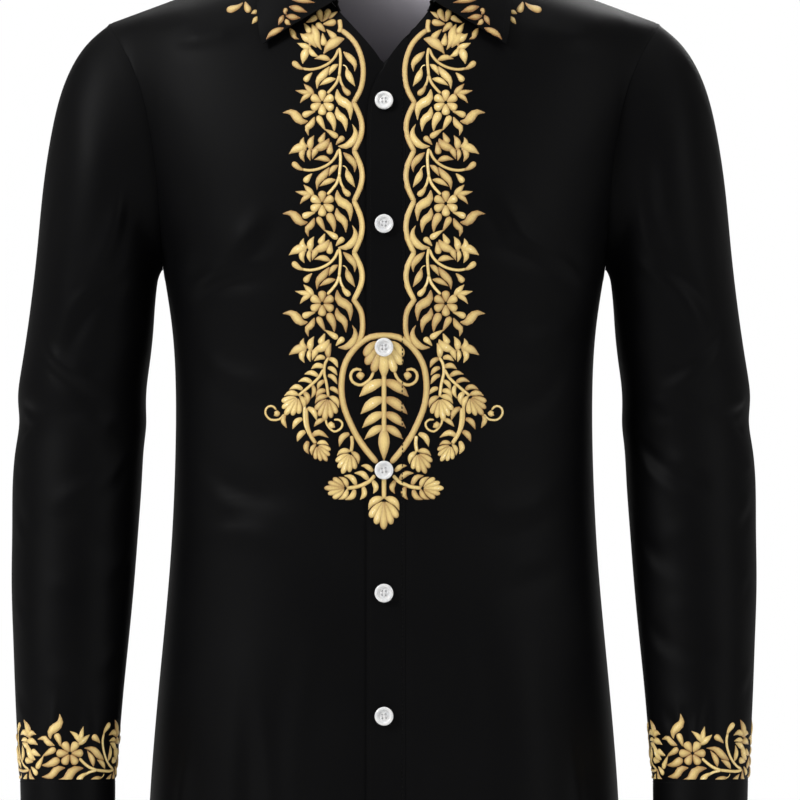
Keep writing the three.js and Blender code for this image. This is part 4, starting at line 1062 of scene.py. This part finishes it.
SPRIG_LOW = [
    ("stem", 3.6, [(62.4, -366.0), (61.7, -378.0), (59.4, -387.0), (54.4, -395.2)]),
    ("frond", 5.0, [(60.7, -392.5), (62.4, -398.5), (59.9, -403.8)]),
    ("frond", 5.0, [(58.4, -389.0), (51.9, -386.2), (43.9, -390.2)]),
    ("stem", 3.2, [(25.9, -388.5), (25.4, -395.0), (26.4, -401.5)]),
    ("frond", 5.4, [(27.4, -386.5), (33.4, -390.0), (35.9, -398.0)]),
    ("stem", 3.4, [(6.9, -420.0), (12.4, -425.5), (20.9, -429.2), (29.9, -430.6)]),
    ("frond", 4.6, [(8.4, -417.2), (13.9, -413.0), (18.9, -412.6)]),
    ("frond", 5.0, [(12.1, -423.8), (17.4, -419.0), (24.5, -418.4)]),
    ("frond", 5.0, [(22.1, -428.2), (25.9, -422.0), (32.6, -420.4)]),
    ("frond", 5.0, [(9.1, -424.0), (6.4, -430.0), (8.9, -435.5)]),
    ("frond", 4.8, [(16.9, -429.0), (15.7, -435.0), (19.5, -440.3)]),
    ("frond", 5.2, [(23.3, -431.2), (25.4, -437.0), (31.7, -440.0)]),
]
print(len(MEDALLION + SPRIG + SPRIG_LOW), "stitches in one half")

# %% Palmettes, ring and middle
# foot and tip of each palmette; the last is on the shirt's middle
PALMETTES = [
    ((44.4, -356.9), (47.8, -376.9)),
    ((67.8, -356.2), (79.4, -372.2)),
    ((54.1, -395.0), (45.4, -409.0)),
    ((26.4, -401.0), (33.4, -419.0)),
    ((29.1, -430.6), (47.9, -430.4)),
    ((0.0, -438.0), (-0.3, -463.6)),
]
RIM = [(0, -308.5), (13, -310.5), (24, -319.5), (31.5, -332), (34, -348), (32.6, -363), (28, -376),
       (20.5, -391), (12.5, -402), (4.8, -411.0)]
MIDDLE = [
    ("stem", 4.2, [(0, -338), (0, -365), (0, -392)]),
    ("stem", 4.0, [(0, -416), (0, -428), (0, -439)]),
    ("leaf", 9.8, [(0, -380), (0, -394), (0, -410)]),
    ("leaf", 10.4, [(0, -317), (0, -331), (0, -346)]),
]

# one half of a palmette, across and ahead as shares of its length: width, line
PALMETTE_HALF = [
    (0.25, [(-0.02, 0.01), (0.20, 0.05), (0.38, 0.17), (0.49, 0.42)]),
    (0.25, [(0.03, 0.12), (0.24, 0.32), (0.43, 0.63)]),
    (0.25, [(0.02, 0.14), (0.14, 0.46), (0.25, 0.84)]),
]


def palmette(foot, tip):
    """A fan of petals from its foot to its tip."""
    foot, tip = np.array(foot, float), np.array(tip, float)
    ahead = tip - foot
    aside = np.array([ahead[1], -ahead[0]])
    length = float(np.linalg.norm(ahead))
    petals = []
    for turn in (1, -1):
        for width, line in PALMETTE_HALF:
            kind = "leaf" if line[0][1] < 0.1 else "petal"
            spots = [tuple(foot + aside * turn * x + ahead * z) for x, z in line]
            petals.append((kind, width * length, spots))
    petals.append(("petal", 0.27 * length, [tuple(foot + ahead * t) for t in (0.10, 0.55, 1.0)]))
    return petals


half = MEDALLION + SPRIG + SPRIG_LOW
for foot, tip in PALMETTES[:-1]:
    half += palmette(foot, tip)
other_half = [(kind, width, [(-x, z) for x, z in line]) for kind, width, line in half]
ring = [(-x, z) for x, z in reversed(RIM[1:])] + RIM
chart = half + other_half + [("long_stem", 5.3, ring)] + MIDDLE + palmette(*PALMETTES[-1])
print(len(palmette(*PALMETTES[0])), "petals in a palmette")

# %% Sew the medallion
piece = sew("medallion", chart, front_cloth(fronts))
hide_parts("medallion_cord_left", "medallion_cord_right")
gold.append(piece)

# %% [markdown]
# ## The collar
# The vine also runs over both points of the collar. Its chart is laid on the collar's leaf, inside
# its edge, and its gold has painted shade: darker than the rest, as the points turn from the light.

# %% Sew the collar
COLLAR_VINE = [
    ("leaf", 5.8, [(76.8, -44.6), (69.0, -46.6), (60.8, -49.6)]),
    ("leaf", 5.4, [(79.2, -52.2), (73.0, -53.2), (66.2, -54.0)]),
    ("leaf", 4.6, [(80.2, -51.2), (82.8, -55.8), (84.8, -60.2)]),
    ("leaf", 4.4, [(74.8, -39.2), (64.3, -40.0), (54.1, -41.8)]),
    ("petal", 4.0, [(78.0, -51.4), (79.4, -48.9), (78.0, -46.0)]),
    ("leaf", 5.6, [(79.6, -61.6), (85.4, -64.0), (91.0, -67.2), (95.0, -72.0)]),
    ("leaf", 4.6, [(78.8, -54.4), (77.4, -57.6), (74.4, -59.6)]),
]

# Painted shade: low tones that make the collar's gold darker.
PAINTED_SHADE_TONES = (-0.9, 0.1)

for side, sign in SIDES:
    to_cloth = front_cloth(collar_and_fronts, sign)
    sew(f"collar_vine_{side}", COLLAR_VINE, to_cloth, mirrored=sign < 0, tones=PAINTED_SHADE_TONES)

# %% [markdown]
# ## The bands above the cuffs
# The same repeat, turned a quarter so that its outer side points up, goes three times round each
# sleeve. The chart is wrapped round the sleeve's middle, and what would pass the cuff's seam is cut
# off there, as the cuff is sewn over it.

# %% Find the middle of a sleeve
def sleeve_middle(side):
    """Where the middle of the sleeve is at a level z of the band, as x and y."""
    points = corners(panels[f"sleeve_{side}"].data)
    levels, middles = (-0.650, -0.600), []
    for z in levels:
        ring = points[np.abs(points[:, 2] - z) < 0.004]
        middles.append((ring.min(axis=0) + ring.max(axis=0))[:2] / 2)
    slope = (middles[1] - middles[0]) / (levels[1] - levels[0])
    return lambda z: middles[0] + slope * (z - levels[0])


for side, _ in SIDES:
    print("middle of the", side, "sleeve", [round(1000 * v) for v in sleeve_middle(side)(-0.65)], "mm")

# %% Wrap a chart round a sleeve
BAND_LEVEL = -0.6432
BAND_FLOWER_X = {"left": 0.2464, "right": -0.2516}
SLEEVE_END_Z = -0.6638
SLEEVE_RADIUS = 0.04


def sleeve_cloth(side):
    """Lays a chart of (distance round, height above the flower) on a sleeve, and gives its girth."""
    tree, middle = cloth_tree(f"sleeve_{side}"), sleeve_middle(side)

    def look_out(angle, z):
        start = Vector((*middle(z), z))
        out = Vector((math.cos(angle), math.sin(angle), 0))
        place, normal, _, _ = tree.ray_cast(start, out)
        if place is None:
            place, normal, _, _ = tree.find_nearest(start + out * SLEEVE_RADIUS)
        return place, turned_to(normal, out)

    angles = np.radians(np.arange(0, 361, 3))
    ring = np.array([look_out(a, BAND_LEVEL)[0][:] for a in angles])
    round_ = np.r_[0, np.cumsum(np.linalg.norm(np.diff(ring, axis=0), axis=1))]
    before = [k for k in range(len(angles)) if ring[k][1] < middle(BAND_LEVEL)[1]]
    first = round_[min(before, key=lambda k: abs(ring[k][0] - BAND_FLOWER_X[side]))]

    def to_cloth(flat):
        turns = np.interp((first + flat[:, 0]) % round_[-1], round_, angles)
        heights = BAND_LEVEL + flat[:, 1]
        levels = np.maximum(heights, SLEEVE_END_Z)
        found = [look_out(a, z) for a, z in zip(turns.tolist(), levels.tolist())]
        below = np.minimum(heights - SLEEVE_END_Z, 0)
        places = np.array([p[:] for p, _ in found])
        places[:, 2] += below
        return places, np.array([n[:] for _, n in found])

    return to_cloth, round_[-1]

# %% Sew the bands
BAND_REPEATS = 3
CUFF_SEAM_Z = -0.6641

for side, _ in SIDES:
    to_cloth, girth = sleeve_cloth(side)
    pitch = girth * 1000 / BAND_REPEATS
    band = []
    for k in range(BAND_REPEATS):
        for kind, width, line in flower(FLOWER_OUT, 0) + VINE + [DROP]:
            wrapped = [(z * pitch / VINE_PITCH + k * pitch, out - FLOWER_OUT) for out, z in line]
            band.append((kind, width, wrapped))
    piece = sew(f"cuff_vine_{side}", band, to_cloth, mirrored=True)
    open_piece(piece)
    bpy.ops.mesh.bisect(plane_co=(0, 0, CUFF_SEAM_Z), plane_no=(0, 0, 1), clear_inner=True)
    close_piece()
    print(piece.name, "girth", round(1000 * girth), "mm")

# %% [markdown]
# ## Buttons
# The shirt closes with six white pearl buttons, and each cuff with a smaller one. They are turned
# discs with a raised rim, a dished face and four holes, sewn with two pairs of stitches. One is
# shaped from a cylinder by insets, drilled with a boolean, and copied to every place.

# %% Pearl and sewing thread
def pearl_material():
    board = Board("pearl")
    place = board.add("ShaderNodeTexCoord", {}, {}, "Object")
    cloud = board.add("ShaderNodeTexNoise", {}, {"Vector": place, "Scale": 160.0, "Detail": 3.0,
                                                 "Distortion": 1.2})
    layers = board.add("ShaderNodeTexWave", {"bands_direction": "DIAGONAL"},
                       {"Vector": place, "Scale": 70.0, "Distortion": 6.0})
    tint = board.mix((cloud * 1.8 - 0.4).clamped(), (0.50, 0.50, 0.51), (0.70, 0.69, 0.67))
    cool = board.mix(layers * 0.25, tint, (0.58, 0.62, 0.66))
    bump = board.add("ShaderNodeBump", {}, {"Strength": 0.12, "Distance": 0.0001, "Height": layers})
    return board.finish(Base_Color=cool, Roughness=0.16 + cloud * 0.14, Normal=bump,
                        Specular_IOR_Level=0.6, Coat_Weight=0.4, Coat_Roughness=0.08)


def plain_thread_material(name, dark, light, gloss):
    board = Board(name)
    place = board.add("ShaderNodeTexCoord", {}, {}, "Object")
    twist = board.add("ShaderNodeTexWave", {"bands_direction": "DIAGONAL"},
                      {"Vector": place, "Scale": 900.0})
    bump = board.add("ShaderNodeBump", {}, {"Strength": 0.5, "Distance": 0.0001, "Height": twist})
    return board.finish(Base_Color=board.mix(twist, dark, light), Roughness=0.55 + twist * 0.1,
                        Normal=bump, Specular_IOR_Level=gloss)


pearl = pearl_material()
white_thread = plain_thread_material("white_thread", (0.34, 0.34, 0.35), (0.52, 0.52, 0.53), 0.4)
black_thread = plain_thread_material("black_thread", (0.001,) * 3, (0.004,) * 3, 0.06)
print(pearl.name, white_thread.name, black_thread.name)

# %% Turn one button, of radius 1, with its back at zero
DISC_HEIGHT = 0.34
FACE_STEPS = [(0.08, 0.08), (0.20, 0.0), (0.07, -0.17), (0.20, -0.04), (0.10, 0.06)]  # inset, rise
BACK_STEP = (0.12, -0.06)


def step_in(piece, way, steps):
    """Insets and moves the faces that look up (way 1) or down (way -1), step by step."""
    bpy.ops.mesh.select_all(action="DESELECT")
    for face in bmesh.from_edit_mesh(piece.data).faces:
        face.select = face.normal.z * way > 0.9
    bmesh.update_edit_mesh(piece.data)
    for inset, rise in steps:
        bpy.ops.mesh.inset(thickness=inset, depth=0)
        bpy.ops.transform.translate(value=(0, 0, rise))


deselect_all()
bpy.ops.mesh.primitive_cylinder_add(
    vertices=48, radius=1, depth=DISC_HEIGHT, location=(0, 0, DISC_HEIGHT / 2)
)
button_model = bpy.context.object
bpy.ops.object.transform_apply(location=True, rotation=True, scale=True)
bpy.ops.object.mode_set(mode="EDIT")
step_in(button_model, 1, FACE_STEPS)
step_in(button_model, -1, [BACK_STEP])
close_piece()
print("disc", len(button_model.data.polygons), "faces")

# %% Round it and drill its holes
HOLE_PLACE = 0.19
HOLE_RADIUS = 0.105
ROUNDING = 0.035


def join(pieces):
    """Joins pieces into the first of them."""
    make_active(pieces[0])
    for piece in pieces:
        piece.select_set(True)
    bpy.ops.object.join()
    return bpy.context.object


holes = []
for x, y in ((1, 1), (-1, 1), (-1, -1), (1, -1)):
    bpy.ops.mesh.primitive_cylinder_add(
        vertices=16, radius=HOLE_RADIUS, depth=1, location=(x * HOLE_PLACE, y * HOLE_PLACE, 0.2)
    )
    holes.append(bpy.context.object)
drill = join(holes)
make_active(button_model)
soft = button_model.modifiers.new("soft", "BEVEL")
soft.width, soft.segments = ROUNDING, 2
soft.limit_method, soft.angle_limit = "ANGLE", math.radians(25)
bpy.ops.object.modifier_apply(modifier=soft.name)
cut = button_model.modifiers.new("holes", "BOOLEAN")
cut.operation, cut.object, cut.solver = "DIFFERENCE", drill, "EXACT"
bpy.ops.object.modifier_apply(modifier=cut.name)
bpy.data.objects.remove(drill)
bpy.ops.object.shade_smooth_by_angle(angle=math.radians(35))
button_model.data.materials.append(pearl)
print("button", len(button_model.data.polygons), "faces")

# %% Sew it with two pairs of stitches, as low bent tubes
THREAD_ASIDE = 0.035
THREAD_RADIUS = 0.045
THREAD_LENGTH = 0.56
THREAD_HEIGHT = 0.24
THREAD_BEND = 0.13
THREAD_DROP = 0.14


def button_thread(x):
    bpy.ops.mesh.primitive_cylinder_add(
        vertices=8, radius=THREAD_RADIUS, depth=THREAD_LENGTH, location=(x, 0, THREAD_HEIGHT),
        rotation=(math.radians(90), 0, 0),
    )
    thread = bpy.context.object
    bpy.ops.object.transform_apply(location=True, rotation=True, scale=True)
    bpy.ops.object.mode_set(mode="EDIT")
    for y in (THREAD_BEND, -THREAD_BEND):
        bpy.ops.mesh.select_all(action="SELECT")
        bpy.ops.mesh.bisect(plane_co=(0, y, 0), plane_no=(0, 1, 0))
    bpy.ops.mesh.select_all(action="DESELECT")
    for vertex in bmesh.from_edit_mesh(thread.data).verts:
        vertex.select = abs(vertex.co.y) > 0.2
    bmesh.update_edit_mesh(thread.data)
    bpy.ops.transform.translate(value=(0, 0, -THREAD_DROP))
    close_piece()
    return thread


asides = (-THREAD_ASIDE, THREAD_ASIDE)
thread_model = join([button_thread(x + aside) for x in (HOLE_PLACE, -HOLE_PLACE) for aside in asides])
bpy.ops.object.shade_smooth_by_angle(angle=math.radians(50))
thread_model.data.materials.append(white_thread)
print("thread", len(thread_model.data.polygons), "faces")

# %% Copy the button to every place
BUTTON_TURNS = (4, -7, 2, 9, -3, 6)  # degrees, from the top down
CUFF_BUTTON_TURN = 0.2
BUTTON_LIFT = 0.0011


def place_button(node, tree, turn):
    """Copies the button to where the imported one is, flat on the cloth behind it."""
    low, high = (Vector(c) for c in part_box(node))
    middle = (low + high) / 2
    spot, normal, _, _ = tree.find_nearest(middle)
    normal = turned_to(normal, middle - spot)
    radius = max(high - low) / 2
    upright = normal.to_track_quat("Z", "Y").to_matrix().to_4x4() @ Matrix.Rotation(turn, 4, "Z")
    seat = Matrix.Translation(spot + normal * BUTTON_LIFT) @ upright @ Matrix.Scale(radius, 4)
    for model, slot in ((button_model, "pearl"), (thread_model, "thread")):
        piece = hang(f"{node}_{slot}", model.data.copy())
        piece.data.transform(seat)
        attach(piece, "root")
        if slot == "pearl":
            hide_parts(node)


placket_tree = cloth_tree("placket")
for number, turn in enumerate(BUTTON_TURNS, 1):
    place_button(f"button_{number}", placket_tree, math.radians(turn))
for side, _ in SIDES:
    place_button(f"cuff_button_{side}", cloth_tree(f"cuff_{side}"), CUFF_BUTTON_TURN)
bpy.data.objects.remove(button_model)
bpy.data.objects.remove(thread_model)
print(len(BUTTON_TURNS), "buttons on the placket, and one on each cuff")

# %% [markdown]
# ## Top-stitching
# Placket, collar and cuffs are sewn through with black thread a few millimetres in from their edge,
# and the hem is sewn up 12 mm above its own. Over the gold these stitches show as small black
# dashes. A line is walked beside each edge, and one short stitch is copied along it, end to end
# with a gap between.

# %% Walk beside an edge
LONGEST_STEP = 0.012


def walks(pairs):
    """The closed walks along pairs of corners, each as its corners in order."""
    links = {}
    for a, b in pairs.tolist():
        links.setdefault(a, []).append(b)
        links.setdefault(b, []).append(a)
    found, left = [], set(links)
    while left:
        walk = [left.pop()]
        while True:
            onward = [v for v in links[walk[-1]] if v in left]
            if not onward:
                break
            walk.append(onward[0])
            left.discard(onward[0])
        found.append(walk + walk[:1])
    return found


def beside_edge(node, inset, keep=lambda place: True):
    """Runs of places on a panel that stay inset metres in from its edge."""
    mesh, tree = panels[node].data, cloth_tree(node)
    points, pairs = corners(mesh), rim_of(mesh)
    edge = np.unique(pairs)
    off = dict(zip(edge.tolist(), ways_off(mesh, points, edge)))
    runs = []
    for walk in walks(pairs):
        spots = np.array([tree.find_nearest(Vector(points[v] - off[v] * inset))[0][:] for v in walk])
        away = nearest_on_rim(spots, points[pairs[:, 0]], points[pairs[:, 1]])[1]
        run = []
        for spot, gap in zip(spots, away):
            follows = not run or np.linalg.norm(spot - run[-1]) < LONGEST_STEP
            if gap > 0.9 * inset and keep(spot) and follows:
                run.append(spot)
            else:
                runs.append(run)
                run = []
        runs.append(run)
    return [np.array(run) for run in runs if len(run) > 4]


ROW_TOP_Z, ROW_FOOT_Z = -0.100, -0.757
NEAR_INSET = 0.0031

near_rows = beside_edge("placket", NEAR_INSET, lambda place: place[2] > ROW_FOOT_Z and place[0] < 0)
print("beside the placket's edge:", [len(run) for run in near_rows], "places")

# %% Copy one stitch along the runs
STITCH, GAP = 0.0023, 0.0010
TACK_SINK = 0.0001


def stitch_rows(name, runs, to_cloth, width=0.0007, height=0.00035):
    """Black stitches along runs of places. to_cloth finds the cloth and its normal at a place."""
    blank, blank_faces = BLANKS["tack"]
    points, faces = [], []
    for run in runs:
        steps = np.r_[0, np.cumsum(np.linalg.norm(np.diff(run, axis=0), axis=1))]
        for start in np.arange(0, steps[-1] - STITCH, STITCH + GAP):
            ends = [[np.interp(at, steps, run[:, k]) for k in range(3)] for at in (start, start + STITCH)]
            (first, normal), (last, _) = (to_cloth(Vector(end)) for end in ends)
            along = last - first
            aside = normal.cross(along).normalized() * (width / 2)
            faces += [[len(points) + v for v in f] for f in blank_faces]
            for x, y, z in blank.tolist():
                points.append(first + along * x + aside * y + normal * (z * height - TACK_SINK))
    finish_thread(name, points, faces, black_thread)
    print(name, len(faces) // len(blank_faces), "stitches")


def on_fronts(place):
    return seen_from_front(fronts, place.x, place.z)


stitch_rows("placket_stitches_right", near_rows, on_fronts)

# %% Sew the placket's other row, over the gold
FAR_ROW_X = 0.0146
ROW_WAVER = 0.0002


def on_gold(place):
    return seen_from_front(gold_and_fronts, place.x, place.z)


gold_and_fronts = tree_of(panels["placket"], panels["front_left"], panels["front_right"], *gold)
heights = np.arange(ROW_FOOT_Z, ROW_TOP_Z, 0.004)[::-1]
far_row = np.array([(FAR_ROW_X + ROW_WAVER * math.sin(z * 90), 0, z) for z in heights])
stitch_rows("placket_stitches_left", [far_row], on_gold, width=0.0010, height=0.0010)

# %% Sew the collar, the cuffs and the hem
COLLAR_INSET, CUFF_INSET, HEM_INSET = 0.0050, 0.0030, 0.012
COLLAR_MIDDLE = (0, 0.02)
CUFF_MIDDLE = (0.255, -0.03)
HEM_Z = -0.745
HEMMED = ("back", "front_left", "front_right")


def away_from(tree, middle):
    """Finds the nearest cloth and its normal, away from the upright line through the middle."""

    def find(place):
        spot, normal, _, _ = tree.find_nearest(place)
        return spot, turned_to(normal, place - Vector((*middle, place.z)))

    return find


beside_collar = beside_edge("collar", COLLAR_INSET, lambda place: abs(place[0]) > 0.03 or place[1] > 0)
stitch_rows("collar_stitches", beside_collar, away_from(cloth_tree("collar"), COLLAR_MIDDLE))
for side, sign in SIDES:
    on_cuff = away_from(cloth_tree(f"cuff_{side}"), (sign * CUFF_MIDDLE[0], CUFF_MIDDLE[1]))
    stitch_rows(f"cuff_stitches_{side}", beside_edge(f"cuff_{side}", CUFF_INSET), on_cuff)
above_hem = []
for node in HEMMED:
    above_hem += beside_edge(node, HEM_INSET, lambda place: place[2] < HEM_Z)
stitch_rows("hem_stitches", above_hem, away_from(cloth_tree(*HEMMED), (0, 0)))

# %% Turn the sheets into cloth with a thickness
DOUBLED = ("placket", "cuff_left", "cuff_right", "collar", "collar_stand")  # no wrong side shows

for node, name, _, thickness, _, held, rests_on in PANELS:
    piece = panels[node]
    make_active(piece)
    piece.data.materials.append(black_cloth)
    piece.data.materials.append(wrong_side)
    wall = piece.modifiers.new("wall", "SOLIDIFY")
    wall.thickness, wall.offset = thickness / 1000, -1
    wall.material_offset = 0 if node in DOUBLED else 1
    bpy.ops.object.modifier_apply(modifier=wall.name)
    bpy.ops.object.shade_smooth_by_angle(angle=math.radians(60))
    width, length, area = cuts[name]
    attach(piece, "root")
    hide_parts(node)
print(len(panels), "panels of cloth")
